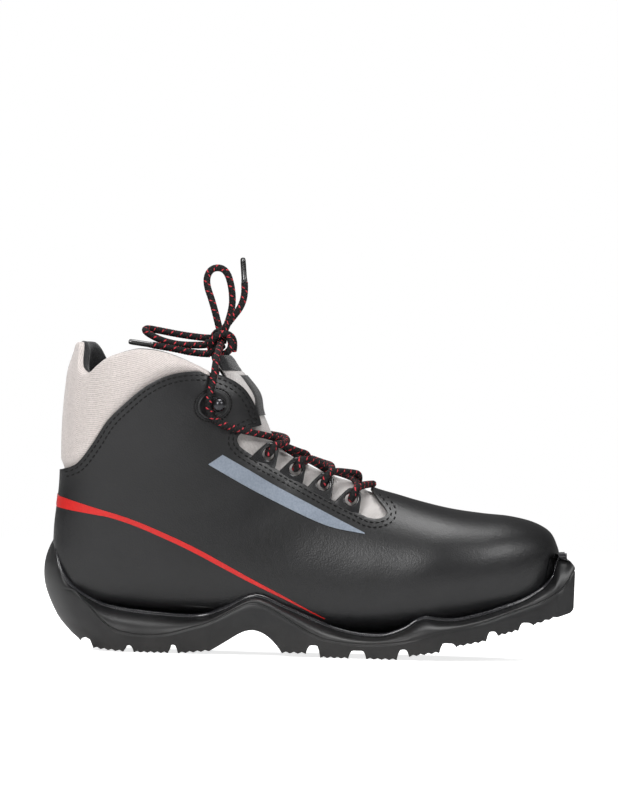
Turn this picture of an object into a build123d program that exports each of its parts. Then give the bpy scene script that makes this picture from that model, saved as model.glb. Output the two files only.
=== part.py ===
"""Cross country ski boot, right foot, as an assembly of separate pieces.

Axes: +X to the toe, +Y to the inner side of the foot, +Z up, millimetres.
Z = 0 is the plane the boot stands on.
"""
from build123d import *
import math
import os

os.makedirs("parts", exist_ok=True)

# ---------------------------------------------------------------- driving sizes
X_SHIFT = 1.15            # centres the boot's length on X = 0
LEATHER = 2.0             # upper thickness
STIFFENER = 1.5           # heel counter and toe puff
LINING = 3.0              # insulated lining in the foot part
COLLAR_FOAM = 9.0         # padded collar, outside to inside
COLLAR_LINING = 1.8       # fleece on the inside of the collar
TONGUE_DROP = 5.6         # tongue lies this far below the upper's surface
TONGUE_THICK = 6.0
TONGUE_LINING = 1.8
EYESTAY_BACKING = 1.2
INSOLE_THICK = 4.0
BODY_GAP = 0.5            # clearance between pieces of different bodies
BEAD_HEIGHT = 3.5         # of the rand above the sole's full width
RAND_REACH = 6.0          # how far the rand may stand out from the last
LACE_D = 4.0
AGLET_D = 3.4
AGLET_LEN = 14.0
TAB_THICK = 2.4
TAB_HOLE_D = 7.4
BAR_D = 4.0
BAR_LEN = 40.0
SLOT_HALF = 11.0
SHANK_HALF = 8.0
SHANK_THICK = 1.6

SECTION_POINTS = 24
SECTION_POWER = 0.65      # below 1 makes the section fuller at its corners
SOLE_SQUARENESS = 0.2     # fuller still towards the sole, rounder over the instep
CAP_RISE = 6.0            # the sizes of the last end above one another at the top

# Sections of the last: top x, top z, back x, back z, half width, lower fullness, side shift
STATIONS = (
    (-52.0, 185.0, -142.0, 185.0, 36.0, 0.02, 0.0),
    (-41.0, 166.0, -143.5, 163.0, 37.5, 0.00, 0.0),
    (-29.0, 151.0, -145.0, 143.0, 38.5, 0.00, 0.0),
    (-25.5, 138.0, -146.0, 122.0, 38.0, 0.00, 0.0),
    (-15.5, 119.5, -146.2, 95.0, 36.5, 0.00, 0.0),
    (-2.0, 112.0, -148.5, 68.0, 35.5, 0.02, 0.0),
    (7.0, 108.0, -147.0, 45.0, 34.5, 0.03, 0.0),
    (15.0, 105.3, -135.0, 28.0, 34.0, 0.04, 0.0),
    (25.0, 102.5, -100.0, 23.0, 34.0, 0.06, 0.0),
    (36.0, 97.5, -60.0, 21.0, 34.5, 0.08, 0.0),
    (49.0, 94.0, -20.0, 17.0, 37.0, 0.10, 0.2),
    (63.0, 90.3, 20.0, 13.5, 40.5, 0.10, 0.4),
    (80.0, 86.7, 58.0, 15.0, 43.5, 0.08, 0.8),
    (98.0, 84.5, 88.0, 20.0, 41.5, 0.08, 1.6),
    (114.0, 83.2, 110.0, 26.0, 36.0, 0.06, 2.4),
    (128.0, 80.0, 125.0, 33.0, 29.0, 0.05, 3.0),
    (137.5, 74.5, 134.0, 40.0, 21.5, 0.03, 3.0),
    (142.0, 66.0, 139.0, 47.0, 14.0, 0.00, 3.0),
    (143.4, 60.0, 140.9, 52.0, 8.0, 0.00, 3.0),
)

# Side-view outlines, x and z
LEATHER_TOP = (
    (-145.3, 103.2), (-135.7, 107.0), (-127.1, 118.2), (-118.7, 131.7), (-109.2, 141.7),
    (-97.2, 152.1), (-83.3, 159.1), (-67.4, 161.5), (-53.2, 159.4), (-41.6, 153.2),
    (-34.3, 142.8), (-30.4, 131.8),
)
NOTCH = ((-30.4, 131.8), (-39.5, 128.9), (-44.1, 123.6), (-42.6, 119.5), (-35.5, 114.5))
EYESTAY_EDGE = ((-35.5, 114.5), (-22.8, 107.6), (-5.5, 98.7), (10.8, 90.2), (26.4, 83.0), (31.3, 80.7))
THROAT = ((31.3, 80.7), (37.0, 80.0), (41.9, 81.8), (43.0, 84.2), (40.0, 88.7), (36.7, 92.6), (34.0, 97.5))
LASTING_LINE = (
    (165.0, 50.0), (136.0, 47.0), (125.0, 40.0), (110.0, 33.0), (88.0, 27.0), (58.0, 22.0),
    (20.0, 20.5), (-20.0, 24.0), (-60.0, 28.0), (-120.0, 31.0), (-165.0, 34.0),
)
RAND_TOP = (
    (-150.2, 65.6), (-140.6, 39.4), (-130.0, 31.0), (-114.6, 26.5), (-89.7, 23.7), (-63.8, 22.9),
    (-49.7, 27.7), (-32.2, 35.5), (-14.4, 29.2), (1.0, 22.6), (14.2, 17.7), (27.3, 15.1), (40.7, 14.9),
    (53.1, 19.0), (60.6, 23.6), (67.2, 25.7), (74.9, 24.9), (86.4, 24.9), (98.8, 27.5), (109.2, 30.6),
    (122.4, 35.7), (130.0, 39.8), (137.0, 45.3), (141.1, 52.5), (143.1, 62.6),
)
PARTING = (
    (-138.5, 34.5), (-131.2, 28.0), (-123.1, 19.0), (-113.9, 13.4), (-102.5, 10.8), (-91.1, 10.1),
    (-79.8, 11.4), (-68.4, 14.7), (-57.0, 18.4), (-42.3, 26.4), (-33.4, 30.0), (-23.1, 27.4),
    (-5.9, 17.5), (2.3, 13.2), (11.4, 10.2), (30.6, 8.4), (52.7, 10.3), (74.8, 16.2), (97.9, 22.1),
    (111.7, 27.0), (131.5, 34.4), (143.6, 42.1), (149.5, 50.6), (151.6, 54.0),
)
HEEL_REAR = ((-150.2, 65.6), (-153.9, 49.4), (-151.1, 31.6), (-147.4, 23.0), (-143.8, 16.8),
             (-136.7, 8.9), (-131.9, 4.4))
TREAD = (
    (-131.0, 4.4), (-129.6, 6.8), (-125.0, 6.8), (-123.5, 1.3), (-106.0, 0.2), (-104.5, 3.2),
    (-100.7, 3.2), (-99.8, 0.0), (-80.5, 0.0), (-79.0, 3.3), (-75.7, 3.3), (-74.6, 0.0), (-57.0, 1.8),
    (-55.0, 2.4), (-46.0, 8.0), (-34.1, 14.0), (-25.0, 12.2), (-16.5, 3.5), (-15.2, 2.0), (-1.6, 2.0),
    (-0.4, 6.9), (5.6, 6.9), (6.7, 0.0), (22.6, 0.0), (24.0, 4.7), (31.0, 4.7), (33.0, 0.0),
    (50.2, 0.0), (51.6, 6.0), (56.2, 6.0), (57.4, 2.1), (74.4, 4.8), (76.0, 10.4), (82.6, 10.4),
    (84.0, 8.3), (101.0, 11.8), (102.6, 17.6), (106.8, 17.6), (108.2, 15.0), (119.6, 18.1),
    (121.2, 22.8), (126.5, 22.8), (128.2, 21.3), (140.0, 26.0), (149.5, 28.3),
)
GUIDE_GROOVE = ((-8.0, 4.5), (52.0, 4.8), (76.0, 9.0), (101.0, 16.0), (121.0, 22.5), (133.0, 27.5))
PLAN_OUTER = (
    (-154.2, 0.0), (-151.5, -12.0), (-143.0, -24.5), (-128.0, -33.0), (-107.0, -36.5), (-80.0, -37.0),
    (-50.0, -37.5), (-20.0, -40.5), (10.0, -45.0), (40.0, -48.8), (62.0, -50.0), (85.0, -47.5),
    (105.0, -41.0), (120.0, -33.0), (132.0, -26.5), (142.0, -23.6),
)
PLAN_INNER = (
    (142.0, 29.6), (132.0, 33.0), (120.0, 39.0), (105.0, 45.5), (85.0, 49.8), (62.0, 50.0),
    (40.0, 46.5), (10.0, 40.5), (-20.0, 37.5), (-50.0, 36.5), (-80.0, 36.5), (-107.0, 36.5),
    (-128.0, 33.0), (-143.0, 24.5), (-151.5, 12.0),
)
TOE_FRONT_X = 151.6
TOE_BLOCK_Y = (-23.6, 29.6)
BAR_X, BAR_Z = 144.0, 34.5

LOOP_HOLES = ((-26.7, 114.8), (-10.9, 106.4), (5.6, 97.8), (21.7, 89.9))
LOOP_ROOTS = ((-31.0, 105.5), (-15.4, 96.6), (0.8, 88.0), (16.6, 80.6))
COLLAR_TOP = (
    (-165.0, 176.9), (-146.0, 176.9), (-141.5, 176.9), (-137.4, 176.6), (-135.0, 170.0), (-133.2, 161.5),
    (-129.5, 160.5), (-125.8, 163.2), (-119.6, 169.2), (-106.5, 172.9), (-97.8, 173.3), (-88.9, 172.4),
    (-80.0, 170.2), (-71.2, 167.0), (-62.1, 162.3),
)
HOOK_SPOT = (-58.4, 142.5)
KNOT = Vector(-53.5, 0.0, 178.5)
KNOT_RADII = (8.5, 9.5, 7.6)
SIDES = {"outer": -1.0, "inner": 1.0}

# Lace routes. Hook route and landing: x, z and height above the upper; the rest: x, y, z
HOOK_LANDING = (-38.0, 127.2)
HOOK_ROUTE = ((-40.0, 127.6, 2.6), (-54.0, 131.2, 3.0), (-61.4, 137.4, 3.7), (-61.8, 146.4, 3.7),
              (-59.5, 156.0, 3.0))
KNOT_APPROACH = ((-57.6, 33.0, 167.0), (-56.2, 22.0, 174.0), (-55.6, 10.5, 177.4), (-55.0, 5.0, 178.6))
BOW_UPRIGHT = ((-56.6, 1.5, 187.0), (-60.0, 2.5, 200.0), (-65.5, 5.0, 214.0), (-62.0, 7.0, 222.0),
               (-53.5, 7.0, 221.5), (-49.6, 5.5, 210.0), (-49.2, 4.0, 197.0), (-52.8, 2.0, 187.2))
BOW_SIDE = ((-63.2, 2.6, 181.0), (-75.0, 6.0, 182.0), (-90.0, 6.5, 184.5), (-99.0, 1.5, 186.0),
            (-99.0, -6.0, 183.5), (-89.0, -9.5, 178.5), (-76.0, -7.5, 176.2), (-64.2, -4.0, 177.0))
END_UPRIGHT = ((-54.0, -5.8, 186.2), (-49.0, -7.8, 193.0), (-44.0, -8.5, 199.5), (-42.0, -8.0, 207.5),
               (-42.6, -7.5, 213.8))
END_SIDE = ((-61.5, -8.2, 171.8), (-70.5, -11.0, 172.0), (-83.0, -13.5, 174.6), (-94.2, -14.0, 176.0))


# ---------------------------------------------------------------- the last, as numbers
def smooth(a, b, c, d, t):
    """Return the Catmull-Rom value between b and c."""
    return b + 0.5 * t * (c - a + t * (2 * a - 5 * b + 4 * c - d + t * (3 * (b - c) + d - a)))


def section(u, inset=0.0):
    """Return top, back, half width, fullness and shift of the section at position u."""
    last = len(STATIONS) - 1
    i = min(max(int(u), 0), last - 1)
    rows = [STATIONS[min(max(k, 0), last)] for k in (i - 1, i, i + 1, i + 2)]
    tx, tz, bx, bz, w, b, c = [smooth(*column, u - i) for column in zip(*rows)]
    length = math.hypot(tx - bx, tz - bz)
    dx, dz = (tx - bx) / length, (tz - bz) / length
    back = (bx + dx * inset + X_SHIFT, bz + dz * inset)
    return back, (dx, dz), length - 2 * inset, w - inset, b, c


def fullness(phi):
    """Return how far out a section reaches at phi, from -1 to 1."""
    power = SECTION_POWER - SOLE_SQUARENESS * math.cos(phi)
    return math.copysign(abs(math.sin(phi)) ** power, math.sin(phi))


def surface(u, phi, inset=0.0):
    """Return a point of the last; phi runs 0 at the sole, pi at the top, up the inner side."""
    back, (dx, dz), length, w, b, c = section(u, inset)
    h = length * (0.5 - 0.5 * math.cos(phi))
    side = fullness(phi)
    return Vector(back[0] + dx * h, c + w * side * (1 + b * math.cos(phi)), back[1] + dz * h)


def normal(u, phi):
    """Return the outward direction of the last's surface."""
    along = surface(u + 0.02, phi) - surface(u - 0.02, phi)
    around = surface(u, phi + 0.01) - surface(u, phi - 0.01)
    out = around.cross(along).normalized()
    centre = (surface(u, 0.0) + surface(u, math.pi)) * 0.5
    return out if out.dot(surface(u, phi) - centre) > 0 else -out


def locate(x, z):
    """Return u and phi (0 to pi) of the surface point seen at x, z from the side."""
    low, high = 0.0, len(STATIONS) - 1.0
    for _ in range(40):
        mid = 0.5 * (low + high)
        back, (dx, dz), _, _, _, _ = section(mid)
        if (x - back[0]) * dz - (z - back[1]) * dx > 0:
            low = mid
        else:
            high = mid
    back, (dx, dz), length, _, _, _ = section(low)
    h = (x - back[0]) * dx + (z - back[1]) * dz
    return low, math.acos(max(-1.0, min(1.0, 1 - 2 * h / length)))


def spot(x, z, side, lift=0.0):
    """Return the surface point seen at x, z on one side, raised by lift, and its normal."""
    u, phi = locate(x + X_SHIFT, z)
    phi = phi if side > 0 else 2 * math.pi - phi
    out = normal(u, phi)
    return surface(u, phi) + out * lift, out


# ---------------------------------------------------------------- shared bodies
def last_body(inset):
    """Return the last, grown or shrunk by inset all round, as one solid."""
    final = len(STATIONS) - 1
    toe = final if inset <= 0 else final - 1 - int(inset > 3) - int(inset > 8)
    with BuildPart() as body:
        for i in range(toe + 1):
            back, (dx, dz), _, _, _, _ = section(float(i), inset)
            rise = CAP_RISE + 0.5 * inset if i == 0 else 0.0
            origin = (back[0], 0, back[1] + rise)
            with BuildSketch(Plane(origin, x_dir=(0, 1, 0), z_dir=(dz, 0, -dx))):
                with BuildLine():
                    Polyline(*[flat_point(i, k, inset) for k in range(SECTION_POINTS)], close=True)
                make_face()
        loft(ruled=True)
    return body.part


def flat_point(u, k, inset):
    """Return point k of the section at position u in that section's own plane."""
    _, _, length, w, b, c = section(u, inset)
    phi = 2 * math.pi * k / SECTION_POINTS
    side = fullness(phi)
    return (c + w * side * (1 + b * math.cos(phi)), length * (0.5 - 0.5 * math.cos(phi)))


def moved(points, dz=0.0, dx=0.0):
    """Return side-view points in the boot's own frame."""
    return [(x + X_SHIFT + dx, z + dz) for x, z in points]


def side_prism(*runs, half=70.0):
    """Return a prism across the boot; runs are (smooth, points) joined end to end."""
    with BuildPart() as prism:
        with BuildSketch(Plane.XZ):
            with BuildLine():
                end = None
                first = None
                for is_smooth, points in runs:
                    if end is not None and math.dist(end, points[0]) > 1e-6:
                        Line(end, points[0])
                    if is_smooth:
                        Spline(*points)
                    elif len(points) > 1:
                        Polyline(*points)
                    first = first or points[0]
                    end = points[-1]
                if math.dist(end, first) > 1e-6:
                    Line(end, first)
            make_face()
        extrude(amount=half, both=True)
    return prism.part


def plan_prism(grow=0.0):
    """Return the sole's outline seen from above as a tall prism."""
    with BuildPart() as prism:
        with BuildSketch(Plane.XY.offset(-2)):
            with BuildLine():
                front = TOE_FRONT_X + X_SHIFT
                outer = Spline(*[(x + X_SHIFT, y) for x, y in PLAN_INNER[-1:] + PLAN_OUTER])
                inner = Spline(*[(x + X_SHIFT, y) for x, y in PLAN_INNER])
                Polyline(outer @ 1, (front - 2, TOE_BLOCK_Y[0]), (front, TOE_BLOCK_Y[0] + 2),
                         (front, TOE_BLOCK_Y[1] - 2), (front - 2, TOE_BLOCK_Y[1]), inner @ 0)
            make_face()
        extrude(amount=80)
    return prism.part


LAST_OUT = last_body(-RAND_REACH)
LAST_SHANK = last_body(-SHANK_THICK)
LAST_0 = last_body(0.0)
LAST_UPPER = last_body(LEATHER)
LAST_BACKING = last_body(LEATHER + EYESTAY_BACKING)
LAST_STIFF = last_body(LEATHER + STIFFENER)
LAST_TONGUE = last_body(TONGUE_DROP)
LAST_LINED = last_body(LEATHER + LINING)
LAST_SOCK = last_body(LEATHER + LINING + BODY_GAP)
LAST_TONGUE_IN = last_body(TONGUE_DROP + TONGUE_THICK)
LAST_TONGUE_SKIN = last_body(TONGUE_DROP + TONGUE_THICK + TONGUE_LINING)
LAST_FOOTBED = last_body(LEATHER + LINING + BODY_GAP + INSOLE_THICK)
LAST_COLLAR = last_body(COLLAR_FOAM)
LAST_FLEECE = last_body(COLLAR_FOAM + COLLAR_LINING)


def shell(outer, inner, *zones):
    """Return the layer between two sizes of the last, kept inside every zone."""
    with BuildPart() as layer:
        add(outer)
        add(inner, mode=Mode.SUBTRACT)
        for zone in zones:
            add(zone, mode=Mode.INTERSECT)
    return layer.part


# ---------------------------------------------------------------- side-view zones
leather_prism = side_prism(
    (False, [(-165.0, 103.2), (-145.3 + X_SHIFT, 103.2)]),
    (True, moved(LEATHER_TOP)), (True, moved(NOTCH)), (True, moved(EYESTAY_EDGE)), (True, moved(THROAT)),
    (False, [(34.0 + X_SHIFT, 112.0), (165.0, 112.0)]), (False, LASTING_LINE))
bottom_prism = side_prism((False, LASTING_LINE), (False, [(-165.0, -5.0), (165.0, -5.0)]))
collar_prism = side_prism(
    (True, moved(COLLAR_TOP)),
    (False, moved([(-62.5, 150.0), (-58.0, 128.0), (-64.0, 112.0), (-100.0, 96.0), (-165.0, 84.0),
                   (-165.0, 176.9)])))
lining_prism = side_prism(
    (False, moved([(-165.0, 83.4), (-100.0, 95.4), (-64.0, 111.4), (-56.5, 111.0), (-36.0, 92.0),
                   (-20.0, 82.0), (0.0, 73.0), (16.0, 67.0), (34.0, 63.5), (54.0, 70.0), (62.0, 82.0),
                   (62.0, 112.0), (165.0, 112.0), (165.0, -5.0), (-165.0, -5.0)])))
tongue_prism = side_prism(
    (False, moved([(48.0, 112.0), (48.0, 84.0), (44.0, 74.5), (34.0, 70.0), (20.0, 73.5), (2.0, 81.5),
                   (-16.0, 90.5), (-34.0, 101.0), (-47.0, 115.0), (-50.5, 150.0), (-54.0, 169.0),
                   (-30.0, 171.5), (20.0, 130.0)])))
tongue_lining_prism = side_prism(
    (False, moved([(40.0, 112.0), (40.0, 84.0), (34.0, 74.0), (20.0, 77.5), (2.0, 85.5),
                   (-16.0, 94.5), (-32.0, 104.0), (-43.0, 117.0), (-47.5, 150.0), (-51.0, 169.0),
                   (-30.0, 171.5), (20.0, 130.0)])))
label_prism = side_prism(
    (False, moved([(-24.0, 139.0), (-37.5, 136.5), (-46.0, 163.0), (-40.0, 168.0), (-20.0, 150.0)])), half=13.0)
eyestay_prism = side_prism(
    (False, moved([(-45.5, 134.0), (-53.0, 122.0), (-48.5, 113.0), (-38.5, 106.5), (-24.5, 99.4),
                   (-7.2, 90.4), (9.2, 82.0), (24.6, 74.8), (32.0, 72.4), (42.0, 73.0), (50.0, 79.5),
                   (50.0, 112.0), (-20.0, 140.0)])))
counter_prism = side_prism((False, moved([(-165.0, 82.0), (-120.0, 70.0), (-88.0, 44.0), (-84.0, 30.0),
                                          (-165.0, 34.2)])))
puff_prism = side_prism((False, moved([(165.0, 50.5), (136.0, 47.2), (125.0, 40.2), (112.0, 34.0),
                                       (104.0, 60.0), (106.0, 112.0), (165.0, 112.0)])))
rand_prism = side_prism((True, moved(HEEL_REAR[:3])), (True, moved(PARTING)),
                        (False, moved([(151.6, 58.0), (150.4, 58.6)])),
                        (True, moved(RAND_TOP[::-1])))
midsole_prism = side_prism((True, moved(RAND_TOP[1:-5], dz=-BEAD_HEIGHT)), (False, moved([(130.0, 5.0)])),
                           (False, moved([(-140.0, 5.0)])))
tread_prism = side_prism((True, moved(HEEL_REAR[2:])), (False, moved(TREAD)),
                         (False, moved([(151.6, 34.0)])), (True, moved(PARTING[::-1])))
guide_prism = side_prism((False, moved(GUIDE_GROOVE)), (False, moved([(133.0, -5.0), (-8.0, -5.0)])), half=8.0)
PLAN = plan_prism()

# ---------------------------------------------------------------- lacing hardware frames


def loop_plane(index, side):
    """Return the plane of a lace loop: origin at the hole, x along the edge, y to the throat."""
    hole, _ = spot(*LOOP_HOLES[index], side, TAB_THICK / 2)
    root, _ = spot(*LOOP_ROOTS[index], side, -LEATHER - EYESTAY_BACKING / 2)
    reach = (hole - root).normalized()
    along = (Vector(*surface_edge(index + 0.3, side)) - Vector(*surface_edge(index - 0.3, side))).normalized()
    out = along.cross(reach).normalized()
    out = out if out.Z > 0 else -out
    return Plane(hole, x_dir=reach.cross(out), z_dir=out)


def surface_edge(index, side):
    """Return a point on the line of lace holes, between or beyond the real ones."""
    (x0, z0), (x1, z1) = LOOP_HOLES[0], LOOP_HOLES[3]
    point, _ = spot(x0 + (x1 - x0) * index / 3, z0 + (z1 - z0) * index / 3, side)
    return tuple(point)


def lace_loop(index, side):
    """Return one moulded lace loop: rounded triangular tab, round hole, thin sewn-in root."""
    frame = loop_plane(index, side)
    with BuildPart() as tab:
        with BuildSketch(frame):
            with BuildLine():
                Polyline((-8.5, -9.0), (8.5, -9.0), (3.6, 6.6), (-3.6, 6.6), close=True)
            make_face()
            fillet(vertices().group_by(Axis((0, 0, 0), tuple(frame.y_dir)))[-1], 3.4)
            Circle(TAB_HOLE_D / 2, mode=Mode.SUBTRACT)
        extrude(amount=TAB_THICK / 2, both=True)
    return tab.part


# ---------------------------------------------------------------- hardware
TABS = {}
for side_name, side_sign in SIDES.items():
    for number in range(4):
        TABS[f"lace_loop_{side_name}_{number + 1}"] = lace_loop(number, side_sign)

HOOK_BASES = {}
HOOKS = {}
for side_name, side_sign in SIDES.items():
    seat, out = spot(*HOOK_SPOT, side_sign, 0.0)
    toward = (Vector(-41.0, seat.Y, 147.5) - seat)
    along = (toward - out * toward.dot(out)).normalized()
    hook_plane = Plane(seat, x_dir=along, z_dir=out)
    with BuildPart() as surround:
        with BuildSketch(hook_plane.offset(-1.6)):
            Ellipse(9.5, 7.75)
        extrude(amount=3.0)
        add(LAST_UPPER, mode=Mode.SUBTRACT)
        with BuildSketch(hook_plane.offset(0.2)):
            Ellipse(7.0, 5.4)
        extrude(amount=4.0, mode=Mode.SUBTRACT)
    HOOK_BASES[f"hook_surround_{side_name}"] = surround.part
    with BuildPart() as hook:
        with BuildSketch(hook_plane.offset(0.2)):
            Circle(4.2)
        extrude(amount=1.2)
        with BuildSketch(hook_plane.offset(1.2)):
            with Locations((1.6, 0)):
                Circle(1.7)
        extrude(amount=7.2)
        with Locations(hook_plane.offset(9.0)):
            Sphere(3.9)
    HOOKS[f"lace_hook_{side_name}"] = hook.part

# ---------------------------------------------------------------- upper
with BuildPart() as upper_shell:
    add(shell(LAST_0, LAST_UPPER, leather_prism))
    for tab in list(TABS.values()) + list(HOOK_BASES.values()):
        add(tab, mode=Mode.SUBTRACT)

with BuildPart() as insole_board:
    add(shell(LAST_0, LAST_UPPER, bottom_prism))

with BuildPart() as heel_counter:
    add(shell(LAST_UPPER, LAST_STIFF, counter_prism))

with BuildPart() as toe_puff:
    add(shell(LAST_UPPER, LAST_STIFF, puff_prism))

with BuildPart() as eyestay_backing:
    add(shell(LAST_UPPER, LAST_BACKING, eyestay_prism, leather_prism))
    for tab in TABS.values():
        add(tab, mode=Mode.SUBTRACT)

with BuildPart() as foot_lining:
    add(shell(LAST_UPPER, LAST_LINED, lining_prism))
    add(heel_counter.part, mode=Mode.SUBTRACT)
    add(toe_puff.part, mode=Mode.SUBTRACT)
    add(eyestay_backing.part, mode=Mode.SUBTRACT)

with BuildPart() as collar:
    add(shell(LAST_0, LAST_COLLAR, collar_prism))
    add(upper_shell.part, mode=Mode.SUBTRACT)
    add(eyestay_backing.part, mode=Mode.SUBTRACT)
    for base in HOOK_BASES.values():
        add(base, mode=Mode.SUBTRACT)

with BuildPart() as collar_lining:
    add(shell(LAST_COLLAR, LAST_FLEECE, collar_prism))

with BuildPart() as tongue:
    add(shell(LAST_TONGUE, LAST_TONGUE_IN, tongue_prism))

with BuildPart() as tongue_lining:
    add(shell(LAST_TONGUE_IN, LAST_TONGUE_SKIN, tongue_lining_prism))

with BuildPart() as tongue_label:
    add(shell(last_body(TONGUE_DROP - 0.8), LAST_TONGUE, label_prism))

with BuildPart() as insole:
    add(shell(LAST_SOCK, LAST_FOOTBED, bottom_prism))

# ---------------------------------------------------------------- sole
with BuildPart() as shank:
    add(LAST_SHANK)
    with Locations((-22.0, 0, 20.0)):
        Box(96.0, 2 * SHANK_HALF, 40.0, mode=Mode.INTERSECT)
    add(LAST_0, mode=Mode.SUBTRACT)
    with Locations((-22.0, 0, 60.0)):
        Box(110.0, 40.0, 60.0, mode=Mode.SUBTRACT)

with BuildPart() as rand:
    add(LAST_OUT)
    add(midsole_prism)
    with Locations((150.0, 0, 50.0)):
        Box(42.0, 120.0, 60.0)
    add(PLAN, mode=Mode.INTERSECT)
    add(rand_prism, mode=Mode.INTERSECT)
    add(LAST_0, mode=Mode.SUBTRACT)
    add(shank.part, mode=Mode.SUBTRACT)

with BuildPart() as binding_bar:
    with Locations(Location((BAR_X, 3.0, BAR_Z), (90, 0, 0))):
        Cylinder(BAR_D / 2, BAR_LEN)

with BuildPart() as outsole:
    add(PLAN)
    add(tread_prism, mode=Mode.INTERSECT)
    add(LAST_0, mode=Mode.SUBTRACT)
    add(shank.part, mode=Mode.SUBTRACT)
    add(guide_prism, mode=Mode.SUBTRACT)
    with Locations((BAR_X + 3.0, 3.0, BAR_Z - 3.0)):
        Box(22.0, 2 * SLOT_HALF, 17.0, mode=Mode.SUBTRACT)
    add(binding_bar.part, mode=Mode.SUBTRACT)

# ---------------------------------------------------------------- lacing


def crossing(index, side, raised):
    """Return the points of one lace between the loops of two rows, over the tongue."""
    start, start_phi = locate(LOOP_HOLES[index][0] + X_SHIFT, LOOP_HOLES[index][1])
    target = LOOP_HOLES[index - 1] if index > 0 else HOOK_LANDING
    end, end_phi = locate(target[0] + X_SHIFT, target[1])
    if side < 0:
        start_phi, end_phi = 2 * math.pi - start_phi, 2 * math.pi - end_phi
    end_phi = 2 * math.pi - end_phi
    points = []
    for share, lift in ((0.34, -1.2), (0.5, -1.7), (0.66, 0.6)):
        u = start + (end - start) * share
        phi = start_phi + (end_phi - start_phi) * share
        lift = lift + (4.7 if raised else 0.0) * (1.0 if share == 0.5 else 0.9)
        points.append(surface(u, phi) + normal(u, phi) * lift)
    return points


def through_loop(index, side):
    """Return the points of a lace that enters a loop from outside and leaves beneath it."""
    frame = loop_plane(index, side)
    local = ((0, 8.4, 3.5), (0, 0.4, 3.4), (0, 0.3, -3.2), (0, 7.6, -2.6))
    return [frame.from_local_coords(Vector(*point)) for point in local]


def half_lacing(side, raised):
    """Return the route of one lace half from the bottom bar to the knot."""
    row = LOOP_HOLES[3]
    u, _ = locate(row[0] + X_SHIFT + 1.5, row[1])
    points = [surface(u, math.pi) + normal(u, math.pi) * 1.4 + Vector(0, 0.7 * side, 0)]
    for index in (3, 2, 1, 0):
        points += through_loop(index, side)
        points += crossing(index, side, raised)
        side = -side
    for x, z, lift in HOOK_ROUTE:
        point, _ = spot(x, z, side, lift)
        points.append(point)
    points += [Vector(x + X_SHIFT, y * side, z) for x, y, z in KNOT_APPROACH]
    return points


def radii(points):
    """Return the largest corner radii that fit the runs, within the lace's own limits."""
    sizes = []
    for before, here, after in zip(points, points[1:], points[2:]):
        run = min((here - before).length, (after - here).length)
        turn = math.radians((here - before).get_angle(after - here))
        sizes.append(min(0.45 * run / math.tan(max(turn, 0.02) / 2), 25.0))
    return sizes


def tube(points, diameter=LACE_D):
    """Return a round cord along straight runs with tangent arcs between them."""
    with BuildPart() as cord:
        with BuildLine() as line:
            FilletPolyline(*points, radius=radii(points))
        path = line.wires()[0]
        with BuildSketch(Plane(path @ 0, z_dir=path % 0)):
            Circle(diameter / 2)
        sweep(path=path)
    area = math.pi * diameter ** 2 / 4
    print(f"cord length {path.length:.1f} mm, volume ratio {cord.part.volume / (area * path.length):.4f},"
          f" smallest radius {min(radii(points)):.1f} mm")
    return cord.part


def route(points):
    """Return route points in the boot's own frame."""
    return [Vector(x + X_SHIFT, y, z) for x, y, z in points]


with BuildPart() as knot:
    Sphere(1.0)
    scale(by=KNOT_RADII)
    knot.part = Pos(KNOT) * knot.part

CORDS = {
    "lacing_lower": half_lacing(-1.0, False),
    "lacing_upper": half_lacing(1.0, True),
    "bow_loop_upright": route(BOW_UPRIGHT),
    "bow_loop_side": route(BOW_SIDE),
    "lace_end_upright": route(END_UPRIGHT),
    "lace_end_side": route(END_SIDE),
}
SOFT = {}
for name, points in CORDS.items():
    with BuildPart() as cord_piece:
        add(tube(points))
        if name.startswith("lacing"):
            add(knot.part, mode=Mode.SUBTRACT)
    SOFT[name] = cord_piece.part
for name, points in (("aglet_upright", END_UPRIGHT), ("aglet_side", END_SIDE)):
    tip, before = route(points)[-1], route(points)[-2]
    along = (tip - before).normalized()
    with BuildPart() as aglet:
        with BuildSketch(Plane(tip + along * 0.1, z_dir=along)):
            Circle(AGLET_D / 2)
        extrude(amount=AGLET_LEN)
    SOFT[name] = aglet.part

# the laces press shallow seats into the loops and the hook surrounds
for group in (TABS, HOOK_BASES):
    for name, solid in group.items():
        with BuildPart() as seated:
            add(solid)
            add(SOFT["lacing_lower"], mode=Mode.SUBTRACT)
            add(SOFT["lacing_upper"], mode=Mode.SUBTRACT)
        group[name] = seated.part

PIECES = {
    "upper_shell": upper_shell, "insole_board": insole_board, "heel_counter": heel_counter,
    "toe_puff": toe_puff, "eyestay_backing": eyestay_backing, "foot_lining": foot_lining,
    "collar": collar, "collar_lining": collar_lining, "tongue": tongue, "tongue_lining": tongue_lining,
    "tongue_label": tongue_label, "insole": insole, "rand": rand, "shank": shank,
    "binding_bar": binding_bar, "outsole": outsole, "lace_knot": knot,
}
SOLIDS = {name: piece.part for name, piece in PIECES.items()}
for group in (TABS, HOOK_BASES, HOOKS, SOFT):
    SOLIDS.update(group)

for name, solid in SOLIDS.items():
    pieces = solid.solids()
    if len(pieces) > 1:
        print(name, "offcuts dropped:", [round(piece.volume, 1) for piece in pieces.sort_by(SortBy.VOLUME)[:-1]])
        solid = pieces.sort_by(SortBy.VOLUME)[-1]
    low, high = solid.bounding_box().min, solid.bounding_box().max
    print(f"{name:22s} {solid.is_valid} {solid.volume:9.1f} x {low.X:.1f}..{high.X:.1f}"
          f" y {low.Y:.1f}..{high.Y:.1f} z {low.Z:.1f}..{high.Z:.1f}")
    solid.label = name
    export_step(solid, f"parts/{name}.step")
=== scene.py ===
"""Looks of a right-foot cross country ski boot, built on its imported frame.

Every length in the dataclasses is in millimetres; meshes are made in metres.
"""

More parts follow.
